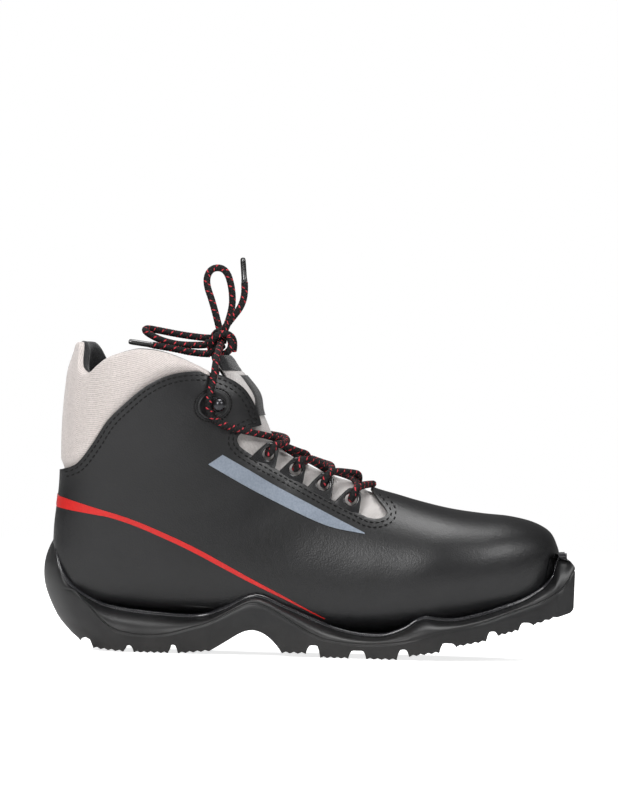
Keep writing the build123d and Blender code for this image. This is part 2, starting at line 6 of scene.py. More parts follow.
from __future__ import annotations

import logging
import math
from dataclasses import dataclass
from enum import Enum
from typing import Callable, Iterable, Sequence

import bmesh
import bpy
from mathutils import Matrix, Vector
from mathutils.bvhtree import BVHTree


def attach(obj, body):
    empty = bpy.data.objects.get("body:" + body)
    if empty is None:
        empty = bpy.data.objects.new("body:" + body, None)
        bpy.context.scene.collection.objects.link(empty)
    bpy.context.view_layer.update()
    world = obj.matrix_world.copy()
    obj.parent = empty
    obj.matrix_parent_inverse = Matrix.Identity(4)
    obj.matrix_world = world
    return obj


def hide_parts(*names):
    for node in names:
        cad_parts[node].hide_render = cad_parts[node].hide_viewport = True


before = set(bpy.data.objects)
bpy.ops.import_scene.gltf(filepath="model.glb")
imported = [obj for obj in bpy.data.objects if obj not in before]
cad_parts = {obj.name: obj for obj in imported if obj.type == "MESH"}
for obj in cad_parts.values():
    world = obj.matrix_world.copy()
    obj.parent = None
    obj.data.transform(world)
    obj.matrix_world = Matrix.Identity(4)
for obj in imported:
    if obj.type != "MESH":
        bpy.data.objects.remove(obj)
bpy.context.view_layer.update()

LOG = logging.getLogger("boot")
MM = 0.001
X_SHIFT = 1.15
Pair = tuple[float, float]


class Side(Enum):
    """The two sides of the boot; the value is the sign of Y."""

    OUTER = -1
    INNER = 1


class Body(Enum):
    """The rigid bodies of the frame that pieces ride on."""

    BOOT = "boot"
    TONGUE = "tongue"
    INSOLE = "insole"


# ------------------------------------------------------------------ small helpers
def catmull(a: float, b: float, c: float, d: float, t: float) -> float:
    """Return the Catmull-Rom value between b and c."""
    return b + 0.5 * t * (c - a + t * (2 * a - 5 * b + 4 * c - d + t * (3 * (b - c) + d - a)))


def curve_through(points: Sequence[Sequence[float]], step: float = 1.0) -> list[tuple[float, ...]]:
    """Return a smooth line through points.

    Args:
        points: Two or more points of the same dimension.
        step: Wanted spacing of the result, in the points' own unit.

    Returns:
        The line, ends included.
    """
    out = []
    last = len(points) - 1
    for i in range(last):
        rows = [points[min(max(k, 0), last)] for k in (i - 1, i, i + 1, i + 2)]
        count = max(1, int(math.dist(rows[1], rows[2]) / step))
        out += [tuple(catmull(*column, k / count) for column in zip(*rows)) for k in range(count)]
    return out + [tuple(points[-1])]


def evenly(line: Sequence[Sequence[float]], pitch: float) -> list[tuple[float, ...]]:
    """Return points spaced evenly along a line."""
    out = [tuple(line[0])]
    carry = 0.0
    for a, b in zip(line, line[1:]):
        run = math.dist(a, b)
        while carry + run >= pitch:
            share = (pitch - carry) / run
            a = tuple(p + (q - p) * share for p, q in zip(a, b))
            out.append(a)
            run = math.dist(a, b)
            carry = 0.0
        carry += run
    return out


def table(rows: Sequence[Pair]) -> Callable[[float], float]:
    """Return a smoothly interpolated function through (input, output) rows in rising order."""
    step = max((rows[-1][0] - rows[0][0]) / 300.0, 1e-3)
    fine = curve_through(rows, step)

    def read(x: float) -> float:
        """Return the value at x."""
        if x <= rows[0][0]:
            return rows[0][1]
        for (x0, y0), (x1, y1) in zip(fine, fine[1:]):
            if x <= x1:
                return y0 + (y1 - y0) * (x - x0) / max(x1 - x0, 1e-9)
        return rows[-1][1]

    return read


def smoothstep(low: float, high: float, x: float) -> float:
    """Return 0 below low, 1 above high, and a smooth rise between."""
    t = min(max((x - low) / (high - low), 0.0), 1.0)
    return t * t * (3 - 2 * t)


def offset_line(line: Sequence[Pair], distance: float) -> list[Pair]:
    """Return a side-view line moved sideways; positive is to the right of its direction."""
    out = []
    for i, (x, z) in enumerate(line):
        (x0, z0), (x1, z1) = line[max(i - 2, 0)], line[min(i + 2, len(line) - 1)]
        run = math.hypot(x1 - x0, z1 - z0) or 1.0
        out.append((x + (z1 - z0) / run * distance, z - (x1 - x0) / run * distance))
    return out


def new_object(name: str, verts: Iterable[Vector], faces: Iterable[Sequence[int]]) -> bpy.types.Object:
    """Return a linked object with a mesh from plain data."""
    mesh = bpy.data.meshes.new(name)
    mesh.from_pydata([tuple(v) for v in verts], [], [tuple(f) for f in faces])
    mesh.validate()
    obj = bpy.data.objects.new(name, mesh)
    bpy.context.scene.collection.objects.link(obj)
    return obj


def select_only(obj: bpy.types.Object) -> None:
    """Deselect everything, then select obj and make it active."""
    bpy.ops.object.select_all(action="DESELECT")
    obj.select_set(True)
    bpy.context.view_layer.objects.active = obj


def apply_modifiers(obj: bpy.types.Object) -> None:
    """Apply every modifier of obj in order."""
    select_only(obj)
    for modifier in list(obj.modifiers):
        bpy.ops.object.modifier_apply(modifier=modifier.name)


def outward(obj: bpy.types.Object, merge: float = 0.00002) -> None:
    """Merge doubles and turn every face outwards."""
    select_only(obj)
    bpy.ops.object.mode_set(mode="EDIT")
    bpy.ops.mesh.select_all(action="SELECT")
    bpy.ops.mesh.remove_doubles(threshold=merge)
    bpy.ops.mesh.normals_make_consistent(inside=False)
    bpy.ops.object.mode_set(mode="OBJECT")


def smooth_shade(obj: bpy.types.Object, angle: float = 40.0) -> None:
    """Shade obj smooth, with creases sharper than angle kept."""
    select_only(obj)
    bpy.ops.object.shade_smooth_by_angle(angle=math.radians(angle))


def loops_mesh(name: str, loops: Sequence[Sequence[Vector]], cap: bool = True,
               closed: bool = True) -> bpy.types.Object:
    """Return a mesh skinned over loops of equal length, with a UV map in millimetres.

    Args:
        name: Name of the object.
        loops: Rows of points; each row is one cross-section.
        cap: Close the first and last row.
        closed: Each row closes on itself.
    """
    count = len(loops[0])
    verts = [p for loop in loops for p in loop]
    wrap = count if closed else count - 1
    faces = []
    for i in range(len(loops) - 1):
        for k in range(wrap):
            n = (k + 1) % count
            faces.append((i * count + k, i * count + n, (i + 1) * count + n, (i + 1) * count + k))
    if cap and closed:
        faces.append(tuple(range(count))[::-1])
        faces.append(tuple((len(loops) - 1) * count + k for k in range(count)))
    obj = new_object(name, verts, faces)
    along = [0.0]
    mid = count // 3
    for a, b in zip(loops, loops[1:]):
        along.append(along[-1] + (b[mid] - a[mid]).length / MM)
    around = []
    for loop in loops:
        row = [0.0]
        for k in range(wrap):
            row.append(row[-1] + (loop[(k + 1) % count] - loop[k]).length / MM)
        around.append(row)
    layer = obj.data.uv_layers.new(name="UVMap")
    quads = (len(loops) - 1) * wrap
    for face in obj.data.polygons:
        if face.index >= quads:
            for n in face.loop_indices:
                co = obj.data.vertices[obj.data.loops[n].vertex_index].co
                layer.data[n].uv = (co.y / MM, co.z / MM)
            continue
        i, k = divmod(face.index, wrap)
        corners = ((i, k), (i, k + 1), (i + 1, k + 1), (i + 1, k))
        for n, (row, col) in zip(face.loop_indices, corners):
            layer.data[n].uv = (along[row], around[row][col])
    return obj


def grid_shell(name: str, outer: Sequence[Sequence[Vector]],
               inner: Sequence[Sequence[Vector]]) -> bpy.types.Object:
    """Return a closed pad between two grids of the same size, with a UV map."""
    loops = [list(a) + list(reversed(b)) for a, b in zip(outer, inner)]
    return loops_mesh(name, loops)


def prism(name: str, line: Sequence[Pair], y0: float, y1: float) -> bpy.types.Object:
    """Return a solid across the boot with the given side view, between two widths."""
    count = len(line)
    verts = [Vector(((x + X_SHIFT) * MM, y * MM, z * MM)) for y in (y0, y1) for x, z in line]
    faces = [(k, (k + 1) % count, count + (k + 1) % count, count + k) for k in range(count)]
    faces += [tuple(range(count))[::-1], tuple(range(count, 2 * count))]
    obj = new_object(name, verts, faces)
    outward(obj)
    return obj


def combine(obj: bpy.types.Object, tool: bpy.types.Object, operation: str, mode: str = "INDEX") -> None:
    """Cut a mesh with another, or keep what both share, and delete the other."""
    cut = obj.modifiers.new("cut", "BOOLEAN")
    cut.operation = operation
    cut.object = tool
    cut.solver = "EXACT"
    cut.material_mode = mode
    apply_modifiers(obj)
    bpy.data.objects.remove(tool)


# ------------------------------------------------------------------ the last
@dataclass(frozen=True)
class Last:
    """The foot form that the boot is built over, as fanned cross-sections.

    Each row: top x, top z, back x, back z, half width, lower fullness, side shift.
    """

    power: float = 0.65
    squareness: float = 0.2
    rows: tuple[tuple[float, ...], ...] = (
        (-52.0, 185.0, -142.0, 185.0, 36.0, 0.02, 0.0),
        (-41.0, 166.0, -143.5, 163.0, 37.5, 0.00, 0.0),
        (-29.0, 151.0, -145.0, 143.0, 38.5, 0.00, 0.0),
        (-25.5, 138.0, -146.0, 122.0, 38.0, 0.00, 0.0),
        (-15.5, 119.5, -146.2, 95.0, 36.5, 0.00, 0.0),
        (-2.0, 112.0, -148.5, 68.0, 35.5, 0.02, 0.0),
        (7.0, 108.0, -147.0, 45.0, 34.5, 0.03, 0.0),
        (15.0, 105.3, -135.0, 28.0, 34.0, 0.04, 0.0),
        (25.0, 102.5, -100.0, 23.0, 34.0, 0.06, 0.0),
        (36.0, 97.5, -60.0, 21.0, 34.5, 0.08, 0.0),
        (49.0, 94.0, -20.0, 17.0, 37.0, 0.10, 0.2),
        (63.0, 90.3, 20.0, 13.5, 40.5, 0.10, 0.4),
        (80.0, 86.7, 58.0, 15.0, 43.5, 0.08, 0.8),
        (98.0, 84.5, 88.0, 20.0, 41.5, 0.08, 1.6),
        (114.0, 83.2, 110.0, 26.0, 36.0, 0.06, 2.4),
        (128.0, 80.0, 125.0, 33.0, 29.0, 0.05, 3.0),
        (137.5, 74.5, 134.0, 40.0, 21.5, 0.03, 3.0),
        (142.0, 66.0, 139.0, 47.0, 14.0, 0.00, 3.0),
        (143.4, 60.0, 140.9, 52.0, 8.0, 0.00, 3.0),
    )

    def section(self, u: float) -> list[float]:
        """Return the seven section values at position u."""
        last = len(self.rows) - 1
        i = min(max(int(u), 0), last - 1)
        rows = [self.rows[min(max(k, 0), last)] for k in (i - 1, i, i + 1, i + 2)]
        return [catmull(*column, u - i) for column in zip(*rows)]

    def point(self, u: float, phi: float, inset: float = 0.0) -> Vector:
        """Return a surface point in metres.

        Args:
            u: Section position, 0 at the collar to 18 at the toe.
            phi: Angle round the section, 0 at the sole and pi at the top, rising on the inner side.
            inset: Depth below the surface.
        """
        tx, tz, bx, bz, w, b, c = self.section(u)
        length = math.hypot(tx - bx, tz - bz)
        dx, dz = (tx - bx) / length, (tz - bz) / length
        h = inset + (length - 2 * inset) * (0.5 - 0.5 * math.cos(phi))
        power = self.power - self.squareness * math.cos(phi)
        reach = math.copysign(abs(math.sin(phi)) ** power, math.sin(phi))
        y = c + (w - inset) * reach * (1 + b * math.cos(phi))
        return Vector(((bx + dx * h + X_SHIFT) * MM, y * MM, (bz + dz * h) * MM))

    def normal(self, u: float, phi: float) -> Vector:
        """Return the outward direction at a surface point."""
        along = self.point(u + 0.03, phi) - self.point(u - 0.03, phi)
        around = self.point(u, phi + 0.02) - self.point(u, phi - 0.02)
        out = around.cross(along).normalized()
        centre = (self.point(u, 0.0) + self.point(u, math.pi)) * 0.5
        return out if out.dot(self.point(u, phi) - centre) > 0 else -out

    def locate(self, x: float, z: float) -> Pair:
        """Return u and phi of the surface point seen at x, z from the side."""
        low, high = 0.0, len(self.rows) - 1.0
        for _ in range(30):
            mid = 0.5 * (low + high)
            tx, tz, bx, bz, *_ = self.section(mid)
            if (x - bx) * (tz - bz) - (z - bz) * (tx - bx) > 0:
                low = mid
            else:
                high = mid
        tx, tz, bx, bz, *_ = self.section(low)
        length = math.hypot(tx - bx, tz - bz)
        h = ((x - bx) * (tx - bx) + (z - bz) * (tz - bz)) / length
        return low, math.acos(max(-1.0, min(1.0, 1 - 2 * h / length)))

    def spot(self, x: float, z: float, side: Side, lift: float = 0.0) -> tuple[Vector, Vector]:
        """Return the surface point seen at x, z on one side, raised by lift, and its normal."""
        u, phi = self.locate(x, z)
        phi = phi if side is Side.INNER else 2 * math.pi - phi
        out = self.normal(u, phi)
        return self.point(u, phi) + out * lift * MM, out

    def body(self, name: str, rows: int = 150, columns: int = 150) -> bpy.types.Object:
        """Return the whole last as a closed mesh."""
        last = len(self.rows) - 1
        loops = [[self.point(last * i / rows, 2 * math.pi * k / columns) for k in range(columns)]
                 for i in range(rows + 1)]
        obj = loops_mesh(name, loops)
        outward(obj)
        return obj


LAST = Last()


@dataclass(frozen=True)
class Outlines:
    """Side-view outlines, x and z, shared by the panels and the stitching."""

    leather_top: tuple[Pair, ...] = (
        (-145.3, 103.2), (-135.7, 107.0), (-127.1, 118.2), (-118.7, 131.7), (-109.2, 141.7),
        (-97.2, 152.1), (-83.3, 159.1), (-67.4, 161.5), (-53.2, 159.4), (-41.6, 153.2),
        (-34.3, 142.8), (-30.4, 131.8))
    notch: tuple[Pair, ...] = ((-30.4, 131.8), (-39.5, 128.9), (-44.1, 123.6), (-42.6, 119.5), (-35.5, 114.5))
    eyestay: tuple[Pair, ...] = ((-35.5, 114.5), (-22.8, 107.6), (-5.5, 98.7), (10.8, 90.2), (26.4, 83.0),
                                 (31.3, 80.7))
    throat: tuple[Pair, ...] = ((31.3, 80.7), (37.0, 80.0), (41.9, 81.8), (43.0, 84.2), (40.0, 88.7),
                                (36.7, 92.6), (34.0, 97.5))
    collar_top: tuple[Pair, ...] = (
        (-150.0, 176.9), (-140.4, 176.9), (-137.6, 176.2), (-135.6, 169.0), (-133.2, 161.0), (-129.5, 160.3),
        (-125.8, 163.0), (-119.6, 169.0), (-106.5, 172.9), (-97.8, 173.3), (-88.9, 172.4), (-80.0, 170.2),
        (-71.2, 167.0), (-62.1, 162.3), (-50.0, 153.0))
    rand_top: tuple[Pair, ...] = (
        (-152.0, 65.8), (-150.2, 65.6), (-147.0, 56.0), (-140.6, 39.4), (-130.0, 31.0), (-114.6, 26.5),
        (-89.7, 23.7), (-63.8, 22.9), (-49.7, 27.7), (-32.2, 35.5), (-14.4, 29.2), (1.0, 22.6),
        (14.2, 17.7), (27.3, 15.1), (40.7, 14.9), (53.1, 19.0), (60.6, 23.6), (67.2, 25.7),
        (74.9, 24.9), (86.4, 24.9), (98.8, 27.5), (109.2, 30.6), (122.4, 35.7), (130.0, 39.8),
        (137.0, 45.3), (141.1, 52.5), (143.1, 62.0), (152.0, 62.6))
    parting: tuple[Pair, ...] = (
        (-156.0, 34.5), (-138.5, 34.5), (-131.2, 28.0), (-123.1, 19.0), (-113.9, 13.4), (-102.5, 10.8),
        (-91.1, 10.1), (-79.8, 11.4), (-68.4, 14.7), (-57.0, 18.4), (-42.3, 26.4), (-33.4, 30.0),
        (-23.1, 27.4), (-5.9, 17.5), (2.3, 13.2), (11.4, 10.2), (30.6, 8.4), (52.7, 10.3), (74.8, 16.2),
        (97.9, 22.1), (111.7, 27.0), (131.5, 34.4), (143.6, 42.1), (149.5, 50.6), (152.0, 54.0))

    def leather_edge(self) -> list[Pair]:
        """Return the whole upper edge of the outer panel as one line, heel to throat."""
        line: list[Pair] = []
        for run in (self.leather_top, self.notch, self.eyestay, self.throat):
            piece = curve_through(run, 0.8)
            line += piece if not line else piece[1:]
        return line


OUTLINES = Outlines()


# ------------------------------------------------------------------ finishes
class Shader:
    """A material's node tree with short calls for its nodes."""

    def __init__(self, name: str) -> None:
        """Make a material with a plain Principled surface."""
        self.material = bpy.data.materials.new(name)
        self.material.use_nodes = True
        self.tree = self.material.node_tree
        self.surface = self.tree.nodes["Principled BSDF"]

    def node(self, kind: str, inputs: dict | None = None, **settings: object) -> bpy.types.Node:
        """Return a new node with its inputs set or linked.

        Args:
            kind: Node type name without its ShaderNode prefix.
            inputs: Socket name or number to a value or another socket.
            settings: Attributes of the node.
        """
        made = self.tree.nodes.new("ShaderNode" + kind)
        for key, value in settings.items():
            setattr(made, key, value)
        for key, value in (inputs or {}).items():
            if isinstance(value, bpy.types.NodeSocket):
                self.tree.links.new(value, made.inputs[key])
            else:
                made.inputs[key].default_value = value
        return made

    def math(self, operation: str, a: object, b: object = 0.0, c: object = 0.0) -> bpy.types.NodeSocket:
        """Return the output of one Math node."""
        return self.node("Math", {0: a, 1: b, 2: c}, operation=operation).outputs[0]

    def ramp(self, factor: bpy.types.NodeSocket,
             stops: Sequence[tuple[float, tuple]]) -> bpy.types.NodeSocket:
        """Return the colour output of a ramp with the given stops."""
        made = self.node("ValToRGB", {"Fac": factor})
        ramp = made.color_ramp
        while len(ramp.elements) < len(stops):
            ramp.elements.new(0.5)
        for element, (place, colour) in zip(ramp.elements, stops):
            element.position = place
            element.color = (*colour, 1.0)
        return made.outputs["Color"]

    def bump(self, height: bpy.types.NodeSocket, distance: float, strength: float = 1.0,
             base: bpy.types.NodeSocket | None = None) -> bpy.types.NodeSocket:
        """Return the normal output of a Bump node; distance is in millimetres."""
        inputs: dict = {"Height": height, "Distance": distance * MM, "Strength": strength}
        if base is not None:
            inputs["Normal"] = base
        return self.node("Bump", inputs).outputs["Normal"]

    def set(self, **values: object) -> None:
        """Set or link sockets of the surface; underscores stand for spaces."""
        for key, value in values.items():
            socket = self.surface.inputs[key.replace("_", " ")]
            if isinstance(value, bpy.types.NodeSocket):
                self.tree.links.new(value, socket)
            else:
                socket.default_value = value

    def place(self, source: str = "Object") -> bpy.types.NodeSocket:
        """Return the named texture coordinate output."""
        return self.node("TexCoord").outputs[source]


Colour = tuple[float, float, float]


@dataclass(frozen=True)
class SmoothLeather:
    """Coated synthetic leather: fine pebble, soft creases and a satin sheen."""

    name: str = "coated_leather"
    base: Colour = (0.005, 0.005, 0.0055)
    worn: Colour = (0.010, 0.010, 0.011)
    pebble: float = 0.9

    def make(self) -> bpy.types.Material:
        """Return the material."""
        s = Shader(self.name)
        place = s.place()
        cells = s.node("TexVoronoi", {"Vector": place, "Scale": 1000.0 / self.pebble})
        broad = s.node("TexNoise", {"Vector": place, "Scale": 18.0, "Detail": 3.0})
        fine = s.node("TexNoise", {"Vector": place, "Scale": 420.0, "Detail": 4.0})
        creases = s.node("TexNoise", {"Vector": place, "Scale": 60.0, "Detail": 2.0, "Distortion": 0.6})
        first = s.bump(creases.outputs["Fac"], 0.5, 0.22)
        second = s.bump(fine.outputs["Fac"], 0.12, 0.5, first)
        third = s.bump(cells.outputs["Distance"], 0.10, 0.55, second)
        colour = s.ramp(broad.outputs["Fac"], [(0.35, self.base), (0.7, self.worn)])
        rough = s.node("MapRange", {"Value": fine.outputs["Fac"], "To Min": 0.33, "To Max": 0.43})
        s.set(Base_Color=colour, Roughness=rough.outputs[0], Normal=third)
        s.set(Specular_IOR_Level=0.5)
        return s.material


@dataclass(frozen=True)
class Weave:
    """Woven cloth whose threads follow the piece's own UV map, in millimetres, with painted shade in the gaps
    between threads.
    """

    name: str
    light: Colour
    dark: Colour
    pitch: float = 0.62
    diagonal: bool = True

    def make(self) -> bpy.types.Material:
        """Return the material."""
        s = Shader(self.name)
        uv = s.node("UVMap", uv_map="UVMap").outputs["UV"]
        split = s.node("SeparateXYZ", {0: uv})
        u, v = split.outputs[0], split.outputs[1]
        if self.diagonal:
            u, v = s.math("ADD", u, v), s.math("SUBTRACT", u, v)
        scale = math.pi / self.pitch
        a = s.math("ABSOLUTE", s.math("SINE", s.math("MULTIPLY", u, scale)))
        b = s.math("ABSOLUTE", s.math("SINE", s.math("MULTIPLY", v, scale)))
        over = s.math("GREATER_THAN", s.math("SINE", s.math("MULTIPLY", u, scale)),
                      s.math("SINE", s.math("MULTIPLY", v, scale)))
        mix = s.node("Mix", {0: over, 2: a, 3: b}).outputs[0]
        height = s.math("MULTIPLY", a, b)
        fuzz = s.node("TexNoise", {"Vector": s.place(), "Scale": 900.0, "Detail": 3.0})
        soil = s.node("TexNoise", {"Vector": s.place(), "Scale": 22.0, "Detail": 4.0})
        # painted shade: the thread value follows the weave height, so the colour runs from dark in the gaps
        # between threads to light on their crowns; the fuzz noise adds random tone
        thread = s.math("MULTIPLY_ADD", fuzz.outputs["Fac"], 0.5, s.math("MULTIPLY", height, 0.6))
        colour = s.ramp(thread, [(0.12, self.dark), (0.62, self.light)])
        tint = s.node("Mix", {0: s.math("MULTIPLY", soil.outputs["Fac"], 0.28), 6: colour,
                              7: (*self.dark, 1.0)}, data_type="RGBA")
        first = s.bump(soil.outputs["Fac"], 0.5, 0.15)
        second = s.bump(height, 0.16, 0.8, first)
        third = s.bump(mix, 0.05, 0.5, second)
        s.set(Base_Color=tint.outputs[2], Normal=third, Roughness=0.86)
        s.set(Sheen_Weight=0.25, Sheen_Roughness=0.5)
        return s.material


@dataclass(frozen=True)
class Fleece:
    """Brushed pile: short tangled fibres."""

    name: str = "black_fleece"
    base: Colour = (0.006, 0.006, 0.007)
    tips: Colour = (0.028, 0.028, 0.03)

    def make(self) -> bpy.types.Material:
        """Return the material."""
        s = Shader(self.name)
        place = s.place()
        pile = s.node("TexNoise", {"Vector": place, "Scale": 1300.0, "Detail": 5.0, "Distortion": 1.2})
        clumps = s.node("TexNoise", {"Vector": place, "Scale": 240.0, "Detail": 3.0})
        height = s.math("MULTIPLY_ADD", clumps.outputs["Fac"], 0.8, pile.outputs["Fac"])
        colour = s.ramp(pile.outputs["Fac"], [(0.35, self.base), (0.68, self.tips)])
        s.set(Base_Color=colour, Normal=s.bump(height, 0.5, 0.9), Roughness=0.95)
        s.set(Sheen_Weight=0.5, Sheen_Roughness=0.4)
        return s.material


@dataclass(frozen=True)
class Moulded:
    """Moulded rubber or plastic with a fine mould texture and light scuffs."""

    name: str
    base: Colour
    scuffed: Colour
    gloss: Pair = (0.35, 0.5)
    texture: float = 0.05
    dust: float = 0.0
    coat: float = 0.0

    def make(self) -> bpy.types.Material:
        """Return the material."""
        s = Shader(self.name)
        place = s.place()
        grain = s.node("TexNoise", {"Vector": place, "Scale": 1500.0, "Detail": 2.0})
        scuff = s.node("TexNoise", {"Vector": place, "Scale": 70.0, "Detail": 6.0, "Roughness": 0.7})
        colour = s.ramp(scuff.outputs["Fac"], [(0.42, self.base), (0.75, self.scuffed)])
        if self.dust:
            height = s.node("SeparateXYZ", {0: place}).outputs[2]
            low = s.node("MapRange", {"Value": height, "From Min": 0.0, "From Max": 0.022,
                                      "To Min": self.dust, "To Max": 0.0})
            amount = s.math("MULTIPLY", low.outputs[0], scuff.outputs["Fac"])
            mixed = s.node("Mix", {0: amount, 6: colour, 7: (0.16, 0.115, 0.075, 1.0)}, data_type="RGBA")
            colour = mixed.outputs[2]
        rough = s.node("MapRange", {"Value": scuff.outputs["Fac"], "To Min": self.gloss[0],
                                    "To Max": self.gloss[1]})
        first = s.bump(scuff.outputs["Fac"], 0.2, 0.12)
        s.set(Base_Color=colour, Roughness=rough.outputs[0],
              Normal=s.bump(grain.outputs["Fac"], self.texture, 0.6, first))
        s.set(Coat_Weight=self.coat, Coat_Roughness=0.12)
        return s.material


@dataclass(frozen=True)
class Metal:
    """Plated or ground metal with fine brushing."""

    name: str
    base: Colour
    rough: float = 0.3

    def make(self) -> bpy.types.Material:
        """Return the material."""
        s = Shader(self.name)
        place = s.place()
        stretched = s.node("Mapping", {"Vector": place, "Scale": (1.0, 0.05, 1.0)}).outputs[0]
        lines = s.node("TexNoise", {"Vector": stretched, "Scale": 2600.0, "Detail": 2.0})
        marks = s.node("TexNoise", {"Vector": place, "Scale": 240.0, "Detail": 4.0})
        rough = s.node("MapRange", {"Value": marks.outputs["Fac"], "To Min": self.rough * 0.7,
                                    "To Max": self.rough * 1.4})
        tone = s.ramp(marks.outputs["Fac"], [(0.3, self.base), (0.7, tuple(c * 0.75 for c in self.base))])
        s.set(Base_Color=tone, Metallic=1.0, Roughness=rough.outputs[0],
              Normal=s.bump(lines.outputs["Fac"], 0.02, 0.4))
        return s.material


@dataclass(frozen=True)
class Braid:
    """Round braided lace: black strands with red marker threads on the diagonal, and painted shade between
    the strands.
    """

    name: str = "flecked_braid"
    base: Colour = (0.004, 0.004, 0.004)
    raised: Colour = (0.018, 0.017, 0.018)
    fleck: Colour = (0.75, 0.05, 0.07)
    pitch: float = 3.6
    helix: float = 5.6

    def make(self) -> bpy.types.Material:
        """Return the material."""
        s = Shader(self.name)
        split = s.node("SeparateXYZ", {0: s.node("UVMap", uv_map="UVMap").outputs["UV"]})
        along, around = split.outputs[0], split.outputs[1]
        turn = s.math("MULTIPLY", around, 3.0)
        step = s.math("MULTIPLY", along, 1.0 / self.pitch)
        left = s.math("FRACT", s.math("ADD", turn, s.math("MULTIPLY", step, 2.0)))
        right = s.math("FRACT", s.math("SUBTRACT", turn, s.math("MULTIPLY", step, 2.0)))
        ridge = s.math("MULTIPLY", s.math("PINGPONG", left, 0.5), s.math("PINGPONG", right, 0.5))
        helix = s.math("MULTIPLY_ADD", along, 1.0 / self.helix, s.math("MULTIPLY", around, 2.0))
        band = s.math("LESS_THAN", s.math("FRACT", helix), 0.17)
        cell = s.math("LESS_THAN", s.math("FRACT", s.math("MULTIPLY_ADD", along, 1.0 / 1.9, around)), 0.5)
        marks = s.math("MULTIPLY", band, cell)
        fuzz = s.node("TexNoise", {"Vector": s.place(), "Scale": 1500.0, "Detail": 3.0})
        # painted shade and highlight: the tone follows the strand ridge, with the lighter raised colour on
        # the crowns and the darker base in the gaps; the fuzz noise adds random tone
        tone = s.ramp(s.math("MULTIPLY_ADD", ridge, 2.4, s.math("MULTIPLY", fuzz.outputs["Fac"], 0.5)),
                      [(0.2, self.base), (0.8, self.raised)])
        worn = s.math("MULTIPLY", marks, s.math("MULTIPLY_ADD", fuzz.outputs["Fac"], 0.7, 0.4))
        mixed = s.node("Mix", {0: worn, 6: tone, 7: (*self.fleck, 1.0)}, data_type="RGBA")
        s.set(Base_Color=mixed.outputs[2], Normal=s.bump(ridge, 0.5, 0.8), Roughness=0.8)
        s.set(Specular_IOR_Level=0.25)
        return s.material


@dataclass(frozen=True)
class Film:
    """Thin printed film with a metallic or plain colour and tiny scratches."""

    name: str
    base: Colour
    deep: Colour
    metallic: float = 0.0
    rough: float = 0.35

    def make(self) -> bpy.types.Material:
        """Return the material."""
        s = Shader(self.name)
        place = s.place()
        speckle = s.node("TexNoise", {"Vector": place, "Scale": 900.0, "Detail": 4.0})
        fade = s.node("TexNoise", {"Vector": place, "Scale": 25.0, "Detail": 2.0})
        colour = s.ramp(s.math("MULTIPLY_ADD", speckle.outputs["Fac"], 0.4,
                               s.math("MULTIPLY", fade.outputs["Fac"], 0.6)),
                        [(0.35, self.deep), (0.6, self.base)])
        s.set(Base_Color=colour, Metallic=self.metallic, Roughness=self.rough,
              Normal=s.bump(speckle.outputs["Fac"], 0.05, 0.4))
        return s.material


@dataclass(frozen=True)
class Studio:
    """Matte paper sweep under the boot."""

    name: str = "studio_paper"

    def make(self) -> bpy.types.Material:
        """Return the material."""
        s = Shader(self.name)
        s.set(Base_Color=(0.93, 0.93, 0.93, 1.0), Roughness=0.9)
        seen = s.node("LightPath").outputs["Is Camera Ray"]
        s.set(Emission_Color=(1.0, 1.0, 1.0, 1.0), Emission_Strength=s.math("MULTIPLY", seen, 0.8))
        return s.material


class Finishes:
    """Every finish of the boot, made once."""

    def __init__(self) -> None:
        """Make the materials."""
        self.leather = SmoothLeather().make()
        self.collar = Weave("collar_cloth", (0.80, 0.73, 0.70), (0.30, 0.265, 0.25), 1.15).make()
        self.tongue = Weave("tongue_cloth", (0.70, 0.665, 0.65), (0.30, 0.28, 0.27), 0.95).make()
        self.patch = Weave("patch_cloth", (0.022, 0.022, 0.023), (0.006, 0.006, 0.006), 0.5, False).make()
        self.fleece = Fleece().make()
        self.footbed = Fleece("footbed_felt", (0.02, 0.02, 0.022), (0.07, 0.07, 0.075)).make()
        self.thread = Moulded("dark_thread", (0.0015, 0.0015, 0.0015), (0.004, 0.004, 0.004),
                              (0.8, 0.95)).make()
        self.rubber = Moulded("sole_rubber", (0.005, 0.005, 0.0055), (0.012, 0.012, 0.0125), (0.36, 0.5),
                              0.05, dust=0.05).make()
        self.bead = Moulded("bead_gloss", (0.012, 0.012, 0.014), (0.03, 0.03, 0.033), (0.16, 0.28), 0.02,
                            coat=0.5).make()
        self.loop = Moulded("loop_moulding", (0.012, 0.012, 0.013), (0.03, 0.03, 0.03), (0.14, 0.26), 0.02,
                            coat=0.5).make()
        self.surround = Moulded("surround_moulding", (0.010, 0.010, 0.011), (0.02, 0.02, 0.02),
                                (0.35, 0.5), 0.04).make()
        self.aglet = Moulded("aglet_sleeve", (0.012, 0.012, 0.012), (0.05, 0.05, 0.05), (0.12, 0.25), 0.03,
                             coat=0.8).make()
        self.hook = Metal("black_nickel", (0.07, 0.07, 0.075), 0.26).make()
        self.steel = Metal("ground_steel", (0.55, 0.55, 0.57), 0.28).make()
        self.braid = Braid().make()
        self.red = Film("red_film", (0.62, 0.012, 0.009), (0.5, 0.008, 0.007)).make()
        self.silver = Film("silver_film", (0.27, 0.31, 0.37), (0.17, 0.20, 0.245), 0.35, 0.4).make()
        self.hidden = Moulded("inner_board", (0.012, 0.012, 0.012), (0.03, 0.03, 0.03), (0.7, 0.8)).make()
        self.paper = Studio().make()


def dress(obj: bpy.types.Object, *materials: bpy.types.Material) -> None:
    """Give obj exactly these materials."""
    obj.data.materials.clear()
    for material in materials:
        obj.data.materials.append(material)


def finish_piece(obj: bpy.types.Object, body: Body, slot: str, *replaced: str) -> None:
    """Fix a piece to its body and hide the frame parts it replaces."""
    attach(obj, body.value)
    if replaced:
        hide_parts(*replaced)
    LOG.info("%s rides on %s", obj.name, body.value)


